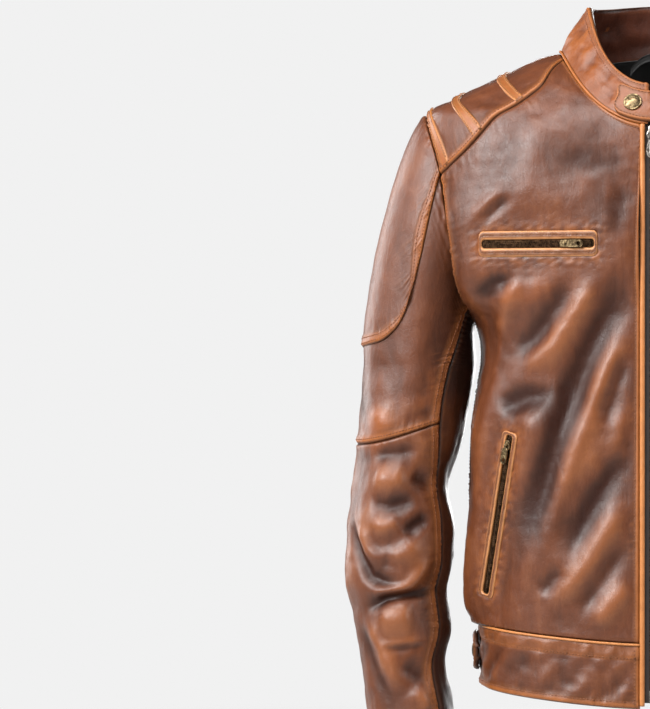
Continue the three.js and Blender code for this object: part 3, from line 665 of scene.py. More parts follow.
def buildPanel(name, place, cells, edges, look, side=1):
    columns, rows = (max(int(c / fine), 6) for c in cells)
    i, j = np.meshgrid(np.linspace(0, 1, columns), np.linspace(0, 1, rows))
    p = place(i, j)
    n = gridNormals(p, look["heart"]) * (-1 if look.get("inward") else 1)
    away = edgeDistances(p)
    seed = look.get("seed", 1) + (17 if side < 0 else 0)
    folds = look["folds"](p, seed) if "folds" in look else np.zeros(p.shape[:-1])
    height, wear, valley = np.zeros_like(folds), np.zeros_like(folds), np.zeros_like(folds)
    calm = np.ones_like(folds)
    for k, (where, kindName) in enumerate(edges.items()):
        kind, d = sideKinds[kindName], away[where]
        drop = kind["drop"] * seamLook["valley"]
        height -= drop * (1 - smooth(d / seamLook["valleyWidth"]))
        width = seamLook["band"] * max(kind["band"], 0.01)
        if kind["band"]:
            height += seamLook["raise"] * smooth(d / 2) * (1 - smooth((d - width) / 2.2))
            for row in kind["rows"]:
                height -= 0.35 * np.exp(-((d - row) / 0.9) ** 2)
        reach = np.exp(-np.maximum(d - width * 0.8, 0) / seamLook["puckerReach"])
        along = away["bottom" if where in upright else "left"]
        crinkle = ripple(np.stack([along, d * 0.16], -1), seamLook["puckerPitch"], seed + 31 + k, 18)
        crinkle = crinkle * smooth(0.62 + 0.6 * ripple(p, 24, seed + 51 + k))
        height += kind["pucker"] * seamLook["pucker"] * crinkle * reach * smooth(d / 3)
        edgeWear = (np.exp(-((d - 2.2) / 1.8) ** 2)
                    + 0.5 * (1 - smooth((d - width) / 5)) * (kind["band"] > 0))
        wear = np.maximum(wear, kind["wear"] * edgeWear)
        wear = np.maximum(wear, 0.4 * kind["wear"] * reach * smooth(crinkle))
        # a mask of the seam grooves for painted shade: at the panel edge and beside a raised band
        valley = np.maximum(valley, np.exp(-(d / 1.3) ** 2) * (0.9 if kindName != "rolled" else 0.25))
        valley = np.maximum(valley, 0.45 * (kind["band"] > 0) * np.exp(-((d - width - 1.6) / 1.5) ** 2))
        calm = np.minimum(calm, 0.12 + 0.88 * smooth(d / 18))
    if "mask" in look:
        calm = calm * look["mask"](p)
    height += folds * calm
    if "extra" in look:
        height += look["extra"](p, away)
    wear = np.clip(wear + (look["wear"](p, away) if "wear" in look else 0), 0, 1)
    # fold heights scaled to -1 to 1; the shader makes ridges lighter and valleys darker from them
    # (painted highlight and painted shade) and also rubs ridges towards tan (wear)
    foldTone = np.clip(folds * calm / look.get("foldRange", 4.8), -1, 1)
    thick = look.get("thick", 1.9)
    lift = look.get("lift", 0.0)
    outer = p + n * (height + lift)[..., None]
    n2 = gridNormals(outer, look["heart"]) * (-1 if look.get("inward") else 1)
    inner = p + n * (height + lift - thick)[..., None]
    count = rows * columns
    facing = np.sum(np.cross(p[0, 1] - p[0, 0], p[1, 0] - p[0, 0]) * n[0, 0]) > 0
    quads = gridQuads(rows, columns)
    back = gridQuads(rows, columns, count)[:, ::-1]
    ring = np.concatenate([np.arange(columns), np.arange(1, rows) * columns + columns - 1,
                           (rows - 1) * columns + np.arange(columns - 2, -1, -1),
                           np.arange(rows - 2, 0, -1) * columns])
    after = np.roll(ring, -1)
    rim = np.stack([ring, ring + count, after + count, after], -1)
    if not facing:
        quads, back, rim = quads[:, ::-1], back[:, ::-1], rim[:, ::-1]
    points = np.concatenate([outer.reshape(-1, 3), inner.reshape(-1, 3)])
    rest = np.concatenate([p.reshape(-1, 3), p.reshape(-1, 3)])
    double = {"wear": np.concatenate([wear.ravel(), np.zeros(count)]),
              "fold": np.tile(foldTone.ravel(), 2), "seam": np.tile(valley.ravel(), 2)}
    faceMaterial = np.concatenate([np.zeros(len(quads)), np.full(len(back), len(look["materials"]) - 1),
                                   np.zeros(len(rim))])
    piece = makeMesh(name, points, [np.concatenate([quads, back, rim])], look["materials"], side,
                     double, faceMaterial, rest=rest)
    rowsOfStitches = []
    for where, kindName in edges.items():
        for row in sideKinds[kindName]["rows"]:
            rowsOfStitches.append(stitchLine(outer, n2, away, where, row))
    for where, row in look.get("rows", ()):
        rowsOfStitches.append(stitchLine(outer, n2, away, where, row))
    return piece, [r for r in rowsOfStitches if r is not None]


def stitchLine(surface, normals, away, where, offset):   # points at an even offset from one side
    d = away[where]
    data = np.concatenate([surface, normals, np.stack([away[w] for w in sideOrder], -1)], -1)
    if where not in upright:
        d, data = d.T, data.transpose(1, 0, 2)
    found = []
    for line, values in zip(d, data):
        order = np.argsort(line)
        if line[order[-1]] < offset:
            continue
        found.append([np.interp(offset, line[order], values[order, k]) for k in range(values.shape[1])])
    if len(found) < 3:
        return None
    found = np.array(found)
    crossing = [6 + k for k, w in enumerate(sideOrder) if (w in upright) != (where in upright)]
    keep = np.all(found[:, crossing] > seamLook["cornerGap"], axis=1)
    found = found[keep]
    return (found[:, :3], found[:, 3:6]) if len(found) > 2 else None


stitchRings = ((-1.0, 0.35), (-0.55, 1.0), (0.55, 1.0), (1.0, 0.35))      # (place, size) along a stitch


def stitchMesh(name, lines, side=1):       # short plump stitches laid along the lines
    ringCount, around = len(stitchRings), 5
    points, faces, first = [], [], 0
    for path, normals in lines:
        steps = np.linalg.norm(np.diff(path, axis=0), axis=1)
        run = np.concatenate([[0], np.cumsum(steps)])
        count = int(run[-1] / seamLook["pitch"])
        if count < 1:
            continue
        mids = (np.arange(count) + 0.5) * run[-1] / count
        half = run[-1] / count * seamLook["stitchShare"]
        at = lambda v: np.stack([np.interp(v, run, path[:, k]) for k in range(3)], -1)
        start, centre, end = at(mids - half), at(mids), at(mids + half)
        nn = unit(np.stack([np.interp(mids, run, normals[:, k]) for k in range(3)], -1))
        along = unit(end - start)
        acrossway = np.cross(along, nn)
        angles = np.arange(around) / around * 2 * math.pi
        rings = []
        for t, size in stitchRings:
            middle = centre + along * half * t
            rise = 0.18 if abs(t) < 0.9 else -0.3
            ring = (middle[:, None] + nn[:, None] * rise
                    + (acrossway[:, None] * np.cos(angles)[None, :, None] * 1.15
                       + nn[:, None] * np.sin(angles)[None, :, None]) * seamLook["stitchRadius"] * size)
            rings.append(ring)
        block = np.stack(rings, 1).reshape(-1, 3)
        points.append(block)
        base = first + np.arange(count)[:, None] * ringCount * around
        for r in range(ringCount - 1):
            for s in range(around):
                a = r * around + s
                b = r * around + (s + 1) % around
                faces.append(base + np.array([a, b, b + around, a + around])[None])
        caps = np.arange(around)
        faces.append(("cap", base + caps[::-1][None]))
        faces.append(("cap", base + (caps + (ringCount - 1) * around)[None]))
        first += len(block)
    if not points:
        return None
    quads = np.concatenate([f for f in faces if not isinstance(f, tuple)])
    ends = np.concatenate([f[1] for f in faces if isinstance(f, tuple)])
    return makeMesh(name, np.concatenate(points), [quads, ends], thread, side)


# ---- creases ----
torsoHeart, sleeveHeart, collarHeart = (0, 0, -300), (-240, -10, -380), (0, 0, 0)


def onTorso(x, z):
    return skin(*fromFront(x, z))


def onSleeve(x, z):      # the front of the sleeve at a place seen from in front
    cx, half, cy, deep = sleeveRing(z)
    a = math.acos(max(-1.0, min(1.0, (cx - x) / half)))
    return np.array([x, cy - deep * math.sin(a), z])


def strokes(lift, rows):
    return [{"height": height, "width": width, "path": np.array([lift(x, z) for x, z in places])}
            for height, width, places in rows]


torsoStrokes = strokes(onTorso, [
    (-5.0, 12, ((-72, -228), (-105, -275), (-138, -316))),
    (6.0, 13, ((-52, -224), (-75, -264), (-97, -296), (-138, -327))),
    (-6.5, 12, ((-92, -343), (-124, -347), (-150, -357))),
    (-8.0, 15, ((-30, -218), (-43, -264), (-62, -303), (-75, -338), (-90, -394), (-99, -418),
                (-111, -452), (-125, -487))),
    (5.5, 11, ((-25, -270), (-52, -333), (-72, -385), (-86, -429), (-103, -481), (-118, -520))),
    (-5.0, 9, ((-25, -300), (-37, -335), (-50, -376))),
    (3.2, 9, ((-24, -350), (-34, -385), (-44, -410))),
    (-5.0, 11, ((-27, -395), (-47, -429), (-70, -470), (-84, -500))),
    (4.5, 11, ((-24, -440), (-44, -470), (-62, -502), (-82, -530), (-99, -552))),
    (-4.5, 10, ((-24, -478), (-50, -520), (-74, -556))),
    (4.0, 11, ((-20, -520), (-42, -546), (-58, -566))),
    (-4.0, 8, ((-86, -508), (-98, -522), (-110, -534))),
    (4.0, 13, ((-112, -360), (-128, -400), (-138, -440))),
    (-3.6, 9, ((-140, -372), (-152, -420), (-160, -470))),
    (-5.0, 9, ((-136, -224), (-152, -236), (-170, -250))),
    (4.0, 10, ((-126, -226), (-140, -256), (-150, -292))),
    (-3.4, 6, ((-138, -150), (-155, -166), (-172, -192))),
    (2.6, 7, ((-146, -146), (-163, -160), (-180, -184))),
    (2.6, 20, ((-40, -128), (-92, -150), (-140, -152))),
    (-2.0, 12, ((-26, -112), (-60, -122), (-92, -112))),
    (-3.0, 10, ((-24, -140), (-34, -168), (-38, -196))),
])
sleeveStrokes = strokes(onSleeve, [
    (-4.2, 9, ((-276, -401), (-252, -400), (-228, -394))),
    (4.0, 13, ((-274, -424), (-256, -426), (-240, -424))),
    (-4.2, 8, ((-238, -423), (-224, -430), (-214, -436))),
    (-4.2, 8, ((-278, -452), (-256, -452), (-232, -447))),
    (3.8, 10, ((-276, -474), (-262, -474), (-246, -468))),
    (-6.0, 7, ((-244, -482), (-232, -472), (-218, -462))),
    (3.0, 8, ((-270, -498), (-250, -500), (-228, -490))),
    (-6.0, 6, ((-300, -462), (-292, -491), (-277, -522), (-259, -528), (-240, -530))),
    (4.0, 7, ((-288, -472), (-279, -496), (-262, -512))),
    (5.2, 6, ((-284, -536), (-262, -536), (-240, -532), (-218, -506))),
    (-7.0, 5, ((-281, -556), (-260, -543), (-239, -539), (-212, -537))),
    (5.0, 15, ((-268, -568), (-250, -564), (-232, -562))),
    (-2.4, 4, ((-262, -593), (-242, -591), (-222, -588))),
    (2.0, 3.5, ((-264, -589), (-242, -586), (-222, -584))),
    (4.2, 8, ((-281, -560), (-264, -594), (-244, -638))),
    (-3.6, 8, ((-290, -564), (-274, -608), (-257, -645))),
    (-3.6, 8, ((-244, -606), (-230, -618), (-216, -622))),
    (3.0, 8, ((-236, -630), (-224, -640), (-214, -650))),
    (-2.6, 9, ((-222, -352), (-214, -372), (-206, -386))),
    (3.0, 12, ((-272, -356), (-264, -374), (-258, -386))),
])


def drift(p, size, seed, slope=1.1, long=2.6):      # long soft waves that run down and outwards
    warped = np.stack([p[..., 0] - p[..., 2] / (2.2 * slope), p[..., 1], p[..., 2] / long], -1)
    return ripple(warped, size, seed)


def frontFolds(p, seed):
    soft = drift(p, 42, seed) * 1.5 + drift(p, 20, seed + 1, 1.4, 3.2) * 0.8
    small = ripple(p, 9, seed + 2, 20) * 0.16 + ripple(p * (1, 1, 0.45), 16, seed + 3) * 0.3
    low = 0.35 + 0.65 * smooth((-150 - p[..., 2]) / 160)
    return strokeField(p, torsoStrokes) + soft * low + small


def backFolds(p, seed):
    waist = np.exp(-((p[..., 2] + 400) / 120) ** 2)
    swag = ripple(p * (0.35, 0.35, 1), 26, seed) * 2.4 * waist
    soft = ripple(p * (1, 1, 0.4), 50, seed + 1) * 2.0 + ripple(p * (1, 1, 0.5), 22, seed + 4) * 0.9
    small = ripple(p, 9, seed + 2, 20) * 0.28
    return swag + soft + small + ripple(p * (1, 1, 0.45), 16, seed + 3) * 0.4


def sleeveFolds(p, seed):
    bendy = np.exp(-((p[..., 2] + 500) / 90) ** 2)
    rings = ripple(p * (0.4, 0.4, 1), 19, seed) * (0.5 + 2.0 * bendy)
    back = smooth((p[..., 1] - sleeveRing(p[..., 2])[..., 2] + 10) / 40)
    long = ripple(p * (1, 1, 0.35), 26, seed + 1) * 1.2
    quiet = 0.4 + 0.6 * smooth((-250 - p[..., 2]) / 120)
    return (strokeField(p, sleeveStrokes) + rings * (0.35 + 0.65 * back) + long
            + ripple(p, 8, seed + 2, 20) * 0.16 + ripple(p, 15, seed + 3) * 0.3) * quiet


def besideZips(p):       # folds lie flat under the pocket zips
    near = np.maximum(nearZip(p, chestPlane, 26, 1), nearZip(p, handPlane, 22, 1))
    return 1 - near * (p[..., 1] < 0)


def zipDistance(p, plane):         # how far outside a pocket zip's frame, and how far inside it
    local = p - plane["centre"]
    u = np.abs(local @ plane["u"]) - plane["half"]
    v = np.abs(local @ plane["v"]) - plane["width"] / 2
    return np.hypot(np.maximum(u, 0), np.maximum(v, 0)), np.minimum(np.maximum(u, v), 0)


def zipSeat(p, away):    # the leather dips to each zip's welt
    total = np.zeros(p.shape[:-1])
    for plane in (chestPlane, handPlane):
        outside, inside = zipDistance(p, plane)
        d = outside + inside
        front = p[..., 1] < 0
        total -= front * 2.8 * (1 - smooth((d + 2.5) / 2.5))
        crinkle = ripple(p, 4.0, 77, 18)
        total += front * 0.55 * crinkle * np.exp(-np.maximum(d, 0) / 7) * smooth(d / 2)
    return total


def zipWear(p, away):
    total = np.zeros(p.shape[:-1])
    for plane in (chestPlane, handPlane):
        d = zipDistance(p, plane)[0]
        total += (p[..., 1] < 0) * 0.55 * np.exp(-d / 5) * smooth(0.5 + ripple(p, 5, 78))
    return total


# ---- torso panels ----
sleeveBend = {name: {"bodies": ("jacket", "forearm_" + name),
                     "start": (-0.246 * s, -0.058, -0.346), "end": (-0.246 * s, -0.058, -0.438)}
              for name, s in sides.items()}


smallestSheet = 0.03


def cutSize(place, steps=60):      # flat width, length and area of a panel before it creases, in metres
    i, j = np.meshgrid(np.linspace(0, 1, steps), np.linspace(0, 1, steps))
    p = place(i, j) / 1000
    away = edgeDistances(p)
    width, length = float(away["left"][:, -1].max()), float(away["bottom"][-1].max())
    cross = np.cross(p[1:, 1:] - p[:-1, :-1], p[1:, :-1] - p[:-1, 1:])
    return width, length, float(min(np.linalg.norm(cross, axis=-1).sum() / 2, width * length))


def panelWithStitches(name, place, cells, edges, look, sideName, bodyName, replaced=(),
                      bend=None):
    side = sides.get(sideName, 1)
    full = name + ("_" + sideName if sideName else "")
    piece, lines = buildPanel(full, place, cells, edges, look, side)
    settle(piece, bodyName, replaced, bend)
    width, length, area = cutSize(place)
    if min(width, length) > smallestSheet:
        print(f"{full} is cut {width * 1000:.0f} x {length * 1000:.0f} mm, {area:.4f} square metres")
    if lines:
        threads = stitchMesh("stitches_" + full, lines, side)
        if threads:
            settle(threads, bodyName, (), bend)
    return piece


def frontPlace(i, j):
    return skin(*np.moveaxis(frontMap(i, j), -1, 0))


def shoulderPlace(i, j):
    return skin(*np.moveaxis(shoulderMap(i, j), -1, 0))


def backPlace(i, j):     # both halves: i runs from one side seam round to the other
    across = 1 - np.abs(2 * i - 1)
    p = torso(*np.moveaxis(backMap(across, j), -1, 0))
    return p * np.stack([np.where(i > 0.5, -1.0, 1.0), np.ones_like(i), np.ones_like(i)], -1)


body = {"materials": [leather, leather, liningCloth], "heart": torsoHeart}
for sideName in sides:
    panelWithStitches("frontPanel", frontPlace, (92, 236),
                      edged("stitched", "rolled", "tucked", "tucked"),
                      {**body, "folds": frontFolds, "seed": 3, "mask": besideZips, "extra": zipSeat,
                       "wear": zipWear},
                      sideName, "jacket", ["front_panel_" + sideName])
    panelWithStitches("shoulderPanel", shoulderPlace, (82, 80),
                      edged("stitched", "stitched", "stitched", "tucked"),
                      {**body, "folds": rippled((30, 0.8), (9, 0.25)),
                       "seed": 9}, sideName, "jacket", ["shoulder_panel_" + sideName])
panelWithStitches("backPanel", backPlace, (190, 226),
                  edged("tucked", "tucked", "tucked", "tucked"),
                  {**body, "folds": backFolds, "seed": 21, "foldRange": 9.0},
                  "", "jacket", ["back_panel"])
print("torso panels made")


# ---- sleeves ----
def outerAt(low, high):      # the outer side of the sleeve between two seams across it
    def place(i, j):
        down = mix(low(np.zeros_like(i)), high(np.zeros_like(i)), 1 - j)
        for _ in range(3):
            front, back = frontSeam(down)[..., 0], backSeamSleeve(down)[..., 0]
            around = mix(front, back, i)
            down = mix(high(around), low(around), j)
        return sleeve(around, down)
    return place


def constant(value):
    return lambda around: np.full(np.shape(around), float(value))


def elbowAt(around):
    return elbowSeam(around)[..., 0]


upperPlace = outerAt(constant(0.0), elbowAt)
lowerPlace = outerAt(elbowAt, constant(cuffTop))


def underPlace(i, j):
    down = mix(cuffTop, 0.0, j)
    return sleeve(mix(frontSeam(down)[..., 0], 360 + backSeamSleeve(down)[..., 0], i), down)


share = 0.3
patchMap = patch(lambda t: patchEdge(mix(share, 1 - share, np.asarray(t, float))),
                 line((shoulderCorner, 0), (-shoulderCorner, 0)),
                 lambda t: patchEdge(mix(share, 0, np.asarray(t, float))),
                 lambda t: patchEdge(mix(1 - share, 1, np.asarray(t, float))))


def patchPlace(i, j):
    return sleeve(*np.moveaxis(patchMap(i, j), -1, 0))


def cuffPlace(i, j):
    down = mix(2.0, cuffTop, j)
    return sleeve(mix(backSeamSleeve(down)[..., 0], 360 + backSeamSleeve(down)[..., 0] - 0.4, i), down)


arm = {"materials": [leather, leather, liningCloth], "heart": sleeveHeart, "folds": sleeveFolds}
for sideName in sides:
    bend = sleeveBend[sideName]
    panelWithStitches("sleeveUpper", upperPlace, (112, 150),
                      edged("double", "stitched", "stitched", "tucked"),
                      {**arm, "seed": 40}, sideName, "jacket",
                      ["sleeve_upper_" + sideName], bend)
    panelWithStitches("sleeveLower", lowerPlace, (108, 132),
                      edged("double", "stitched", "tucked", "tucked"),
                      {**arm, "seed": 44}, sideName, "forearm_" + sideName,
                      ["sleeve_lower_" + sideName, "sleeve_elbow_" + sideName], bend)
    panelWithStitches("sleeveUnder", underPlace, (44, 260),
                      edged("tucked", "tucked", "tucked", "tucked"),
                      {**arm, "seed": 48, "materials": [leatherUnder, leatherUnder, liningCloth]},
                      sideName, "forearm_" + sideName,
                      ["under_upper_" + sideName, "under_lower_" + sideName], bend)
    panelWithStitches("shoulderPatch", patchPlace, (96, 110),
                      edged("double", "double", "double", "tucked"),
                      {**arm, "seed": 40, "lift": 1.7, "thick": 2.6},
                      sideName, "jacket", ["sleeve_patch_" + sideName])
    panelWithStitches("sleeveCuff", cuffPlace, (116, 22),
                      edged("plain", "plain", "rolled", "stitched"),
                      {**arm, "seed": 52, "lift": 0.7, "thick": 3.0,
                       "folds": lambda p, seed: ripple(p, 14, seed) * 0.5}, sideName,
                      "forearm_" + sideName, ["cuff_" + sideName])
print("sleeves made")


# ---- shoulder bands ----
bandLook = {"places": ((0.02, 0.085), (0.31, 0.085), (0.62, 0.075)), "lift": 1.1, "thick": 2.0}


def bandAt(start, width):
    return lambda i, j: shoulderPlace(mix(0.01, 0.99, i), start + width * j)


for sideName in sides:
    for k, (start, width) in enumerate(bandLook["places"], 1):
        panelWithStitches(f"shoulderBand{k}", bandAt(start, width), (74, 14),
                          edged("plain", "plain", "cord", "cord"),
                          {**body, "seed": 60 + k, "lift": bandLook["lift"], "thick": bandLook["thick"],
                           "materials": [leatherTan, leatherTan], "folds": rippled((6, 0.3))},
                          sideName, "jacket", [f"shoulder_band_{k}_{sideName}"])


# ---- collar, tab and snap ----
neckRing = (93, -112, 70, 9, -4, -83, 2, 2.1)
collarRing = (64, -92, 62, 5, 42, -42, 48, 2.1)
collarLook = {"belly": 1.5, "end": -87.2, "foot": 0.03, "tabMiddle": 0.39, "tabHalf": 0.37,
              "tabTip": -37, "tabRoot": 13, "tabCorner": 8, "tabSquare": 0.52, "reach": 106,
              "snapX": -19, "tabStand": 5.0, "tabThick": 2.4, "tuckedIn": 0.25}


def collar(turn, up):
    turn, up = np.broadcast_arrays(np.asarray(turn, float), np.asarray(up, float))
    p, top = ringPoint(neckRing, turn, 2.6), ringPoint(collarRing, turn, 2.4)
    out = unit(p * (1, 1, 0)) * (4 * up * (1 - up) * collarLook["belly"])[..., None]
    return mix(p, top, up[..., None]) + out


def wholeRound(half):    # half(i, j) runs round to the centre back, and this goes all the way round
    def place(i, j):
        p = half(1 - np.abs(2 * i - 1), j)
        return p * np.stack([np.where(i > 0.5, -1.0, 1.0), np.ones_like(i), np.ones_like(i)], -1)
    return place


def tabPlace(i, j):
    x = mix(collarLook["tabTip"], collarLook["tabRoot"], i)
    turn = -90 + np.degrees(np.arctan(np.abs(x) / collarLook["reach"]))
    corner = np.clip(1 - (x - collarLook["tabTip"]) / collarLook["tabCorner"], 0, 1)
    rounded = 1 - collarLook["tabSquare"] * (1 - np.sqrt(1 - corner ** 2))
    p = collar(turn, collarLook["tabMiddle"] + collarLook["tabHalf"] * rounded * (2 * j - 1))
    return p * np.stack([np.where(x > 0, -1.0, 1.0), np.ones_like(x), np.ones_like(x)], -1)


def outerHalf(i, j):
    return collar(mix(collarLook["end"], 90, i), mix(collarLook["foot"], 1, j))


def facingHalf(i, j):    # at the back it goes down behind the lining
    turn = mix(collarLook["end"], 90, i)
    foot = collarLook["foot"] - collarLook["tuckedIn"] * smooth((turn + 20) / 50)
    return collar(turn, mix(foot, 0.985, j))


def collarFolds(p, seed):
    return ripple(p * (1, 1, 0.5), 12, seed) * 0.9 + ripple(p, 5, seed + 1) * 0.25


band = {"heart": collarHeart, "materials": [collarLeather, collarLeather]}
panelWithStitches("collarOuter", wholeRound(outerHalf),
                  (330, 26), edged("rolled", "rolled", "plain", "collarTop"),
                  {**band, "seed": 71, "thick": 2.6, "lift": 0.4, "folds": collarFolds},
                  "", "jacket", ["collar_outer"])
panelWithStitches("collarFacing", wholeRound(facingHalf),
                  (220, 20), edged("plain", "plain", "plain", "plain"),
                  {"heart": collarHeart, "materials": [leatherInside, leatherInside], "seed": 73,
                   "inward": True, "lift": 4.2, "thick": 2.0, "folds": rippled((12, 0.6))},
                  "", "jacket", ["collar_facing"])
panelWithStitches("collarTab", tabPlace, (56, 32),
                  edged("tabEdge", "plain", "tabEdge", "tabEdge"),
                  {**band, "seed": 75, "lift": collarLook["tabStand"], "thick": collarLook["tabThick"],
                   "folds": rippled((9, 0.3))},
                  "", "collar_tab", ["collar_tab"])


def tubeMesh(name, path, radius, material, side=1, around=10, wear=0.0):
    path = np.asarray(path, float)
    along = unit(np.gradient(path, axis=0))
    a = unit(np.cross(along, (0.31, 0.17, 0.93)))
    b = np.cross(along, a)
    turns = np.arange(around) / around * 2 * math.pi
    ring = (path[:, None] + (a[:, None] * np.cos(turns)[None, :, None]
                             + b[:, None] * np.sin(turns)[None, :, None]) * radius)
    return makeMesh(name, ring.reshape(-1, 3), ringFaces(len(path), around), material, side,
                    {"wear": wear})


def pathOut(points, heart, out):     # moved away from a heart, square to the path
    points = np.asarray(points, float)
    along = unit(np.gradient(points, axis=0))
    away = points - np.array(heart, float)
    away = unit(away - along * np.sum(away * along, -1, keepdims=True))
    return points + away * out


neckTurns = np.linspace(collarLook["end"], 90, 90)
neckLine = collar(np.concatenate([neckTurns, neckTurns[-2::-1]]), collarLook["foot"])
neckLine[len(neckTurns):, 0] *= -1
piping = tubeMesh("collarPiping", pathOut(neckLine, (0, 0, -20), 0.9), 1.35, collarLeather, wear=0.9)
settle(piping, "jacket")


thinnest = 0.02          # the smallest ring, in mm, so that no ring closes to a point


# rows of radius and height turned about a line
def turnedMesh(name, rows, foot, normal, material, side=1, around=40):
    normal = unit(np.array(normal, float))
    a = unit(np.cross(normal, (0.2, 0.9, 0.3)))
    b = np.cross(normal, a)
    turns = np.arange(around) / around * 2 * math.pi
    spin = a * np.cos(turns)[:, None] + b * np.sin(turns)[:, None]
    rings = np.array([foot + normal * h + spin * max(r, thinnest) for r, h in rows])
    return makeMesh(name, rings.reshape(-1, 3), ringFaces(len(rows), around), material, side)


snapTurn = -90 + math.degrees(math.atan(-collarLook["snapX"] / collarLook["reach"]))
snapFoot = collar(snapTurn, collarLook["tabMiddle"])
snapOut = unit(np.cross(collar(snapTurn - 1, 0.39) - collar(snapTurn + 1, 0.39),
                        collar(snapTurn, 0.44) - collar(snapTurn, 0.34)))
capRows = [(0, 5.2), (8.3, 5.2), (8.8, 5.5), (8.9, 6.1), (8.6, 6.6), (8.0, 6.75), (7.7, 6.65),
           (7.4, 6.8), (6.4, 7.35), (4.8, 7.8), (2.6, 8.1), (0, 8.2)]
settle(turnedMesh("snapCap", capRows, snapFoot, snapOut, brass, around=56), "collar_tab",
       ["collar_snap_cap"])
studRows = [(0, 0.4), (4.4, 0.4), (4.6, 0.7), (4.3, 1.05), (2.8, 1.2), (2.4, 1.5), (2.6, 1.9),
            (2.2, 2.15), (0, 2.2)]
settle(turnedMesh("snapStud", studRows, snapFoot, snapOut, nickel), "jacket",
       ["collar_snap_stud"])
print("collar made")


# ---- hem band and waist tabs ----
hemLook = {"top": 61.4, "split": 22, "lift": -0.2, "thick": 3.4, "secondRow": 13.5, "piping": 61.9}


def hemFrontPlace(i, j):
    return torso(mix(hemLook["split"], float(zipEdge(0.0)[0]), i), hemLook["top"] * j)


def hemBackHalf(i, j):
    return torso(mix(hemLook["split"], 90, i), hemLook["top"] * j)


def hemFolds(p, seed):
    slant = np.stack([p[..., 0] - p[..., 2] * 0.75, p[..., 1], p[..., 2] * 0.3], -1)
    return ripple(slant, 13, seed) * 1.1 + ripple(p, 7, seed + 1) * 0.3


def hemExtra(p, away):   # the gathered strip between the hem seam and the second row of stitches
    d = away["top"]
    strip = smooth((d - 1.5) / 2) * (1 - smooth((d - hemLook["secondRow"] + 2) / 3))
    return (0.8 * strip + 0.55 * ripple(p * (1, 1, 0.25), 2.6, 91, 18) * strip
            - 0.7 * np.exp(-((d - hemLook["secondRow"]) / 1.1) ** 2))


def hemWear(p, away):
    d = away["top"] - hemLook["secondRow"]
    return 0.35 * np.exp(-(d / 1.6) ** 2) + 0.25 * (1 - smooth(d / 2))


hemBand = {**body, "folds": hemFolds, "lift": hemLook["lift"], "thick": hemLook["thick"],
           "extra": hemExtra, "rows": (("top", hemLook["secondRow"]),), "wear": hemWear}
for sideName in sides:
    panelWithStitches("hemFront", hemFrontPlace, (112, 32),
                      edged("tucked", "rolled", "hemEdge", "plain"), {**hemBand, "seed": 80},
                      sideName, "jacket", ["hem_front_" + sideName])
panelWithStitches("hemBack", wholeRound(hemBackHalf), (150, 30),
                  edged("tucked", "tucked", "hemEdge", "plain"), {**hemBand, "seed": 84},
                  "", "jacket", ["hem_back"])
hemTurns = np.linspace(float(zipEdge(hemLevel)[0]), 90, 120)
for sideName, s in sides.items():
    hemLine = pathOut(torso(hemTurns, hemLook["piping"]), torsoHeart, 0.7)
    piping = tubeMesh("hemPiping_" + sideName, hemLine, 1.25, leatherTan, s, wear=0.9)
    settle(piping, "jacket")

waistTab = {"tip": -9, "root": 14, "middle": 33, "height": 38, "stand": 6.0, "thick": 2.8,
            "snap": -3.2, "corner": 4.5}


def waistTabPlace(i, j):
    turn = mix(waistTab["tip"], waistTab["root"], i)
    corner = np.clip(1 - i * waistTab["corner"], 0, 1)
    rounded = np.sqrt(np.maximum(1 - corner ** 2, 0.1))
    return torso(turn, waistTab["middle"] + waistTab["height"] * rounded * (j - 0.5))


waistSnapRows = [(0, 5.9), (6.4, 5.9), (6.9, 6.3), (6.8, 6.9), (6.0, 7.3), (4.0, 7.9), (0, 8.2)]


for sideName, s in sides.items():
    panelWithStitches("waistTab", waistTabPlace, (36, 26),
                      edged("tabEdge", "plain", "tabEdge", "tabEdge"),
                      {**body, "seed": 88, "lift": waistTab["stand"], "thick": waistTab["thick"],
                       "materials": [leather, leather], "folds": rippled((9, 0.3))},
                      sideName, "waist_tab_" + sideName, ["waist_tab_" + sideName])
    spot, above = (torso(waistTab["snap"], waistTab["middle"] + rise) for rise in (0, 3))
    out = unit(np.cross(torso(waistTab["snap"] + 1, waistTab["middle"]) - spot, above - spot))
    out = out if out[0] < 0 else -out
    settle(turnedMesh("waistSnap_" + sideName, waistSnapRows, spot, out, brass, s),
           "waist_tab_" + sideName)
print("hem made")


# ---- zips ----
def joined(parts):       # several (points, [face groups]) blocks as one
    points, faces, first = [], {}, 0
    for block, groups in parts:
        points.append(block)
        for group in groups:
            faces.setdefault(group.shape[1], []).append(group + first)
        first += len(block)
    return np.concatenate(points), [np.concatenate(g) for g in faces.values()]


def alongMain(p):        # across, outward and down the main zip
    p = np.asarray(p, float)
    t = math.atan(frontLean)
    return np.stack([p[..., 0], frontLineY - p[..., 1] * math.cos(t) - p[..., 2] * math.sin(t),
                     frontLineZ + p[..., 1] * math.sin(t) - p[..., 2] * math.cos(t)], -1)


def alongPocket(plane):  # along, across and out of a pocket zip
    def at(p):
        p = np.asarray(p, float)
        return (plane["centre"] + p[..., :1] * plane["u"] + p[..., 1:2] * plane["v"]
                + p[..., 2:3] * plane["n"])
    return at


# a rounded rectangle, anticlockwise
def outline(length, width, radius, centre=(0, 0), corner=6, straight=8):
    a, b = length / 2 - radius, width / 2 - radius
    points = []
    corners = ((a, b, 0, (-a, b + radius)), (-a, b, 90, (-a - radius, -b)),
               (-a, -b, 180, (a, -b - radius)), (a, -b, 270, (a + radius, b)))
    for cx, cy, start, (nextX, nextY) in corners:
        for k in range(corner + 1):
            angle = math.radians(start + 90 * k / corner)
            points.append((cx + radius * math.cos(angle), cy + radius * math.sin(angle)))
        lastX, lastY = points[-1]
        points += [(mix(lastX, nextX, k / straight), mix(lastY, nextY, k / straight))
                   for k in range(1, straight)]
    return np.array(points) + centre


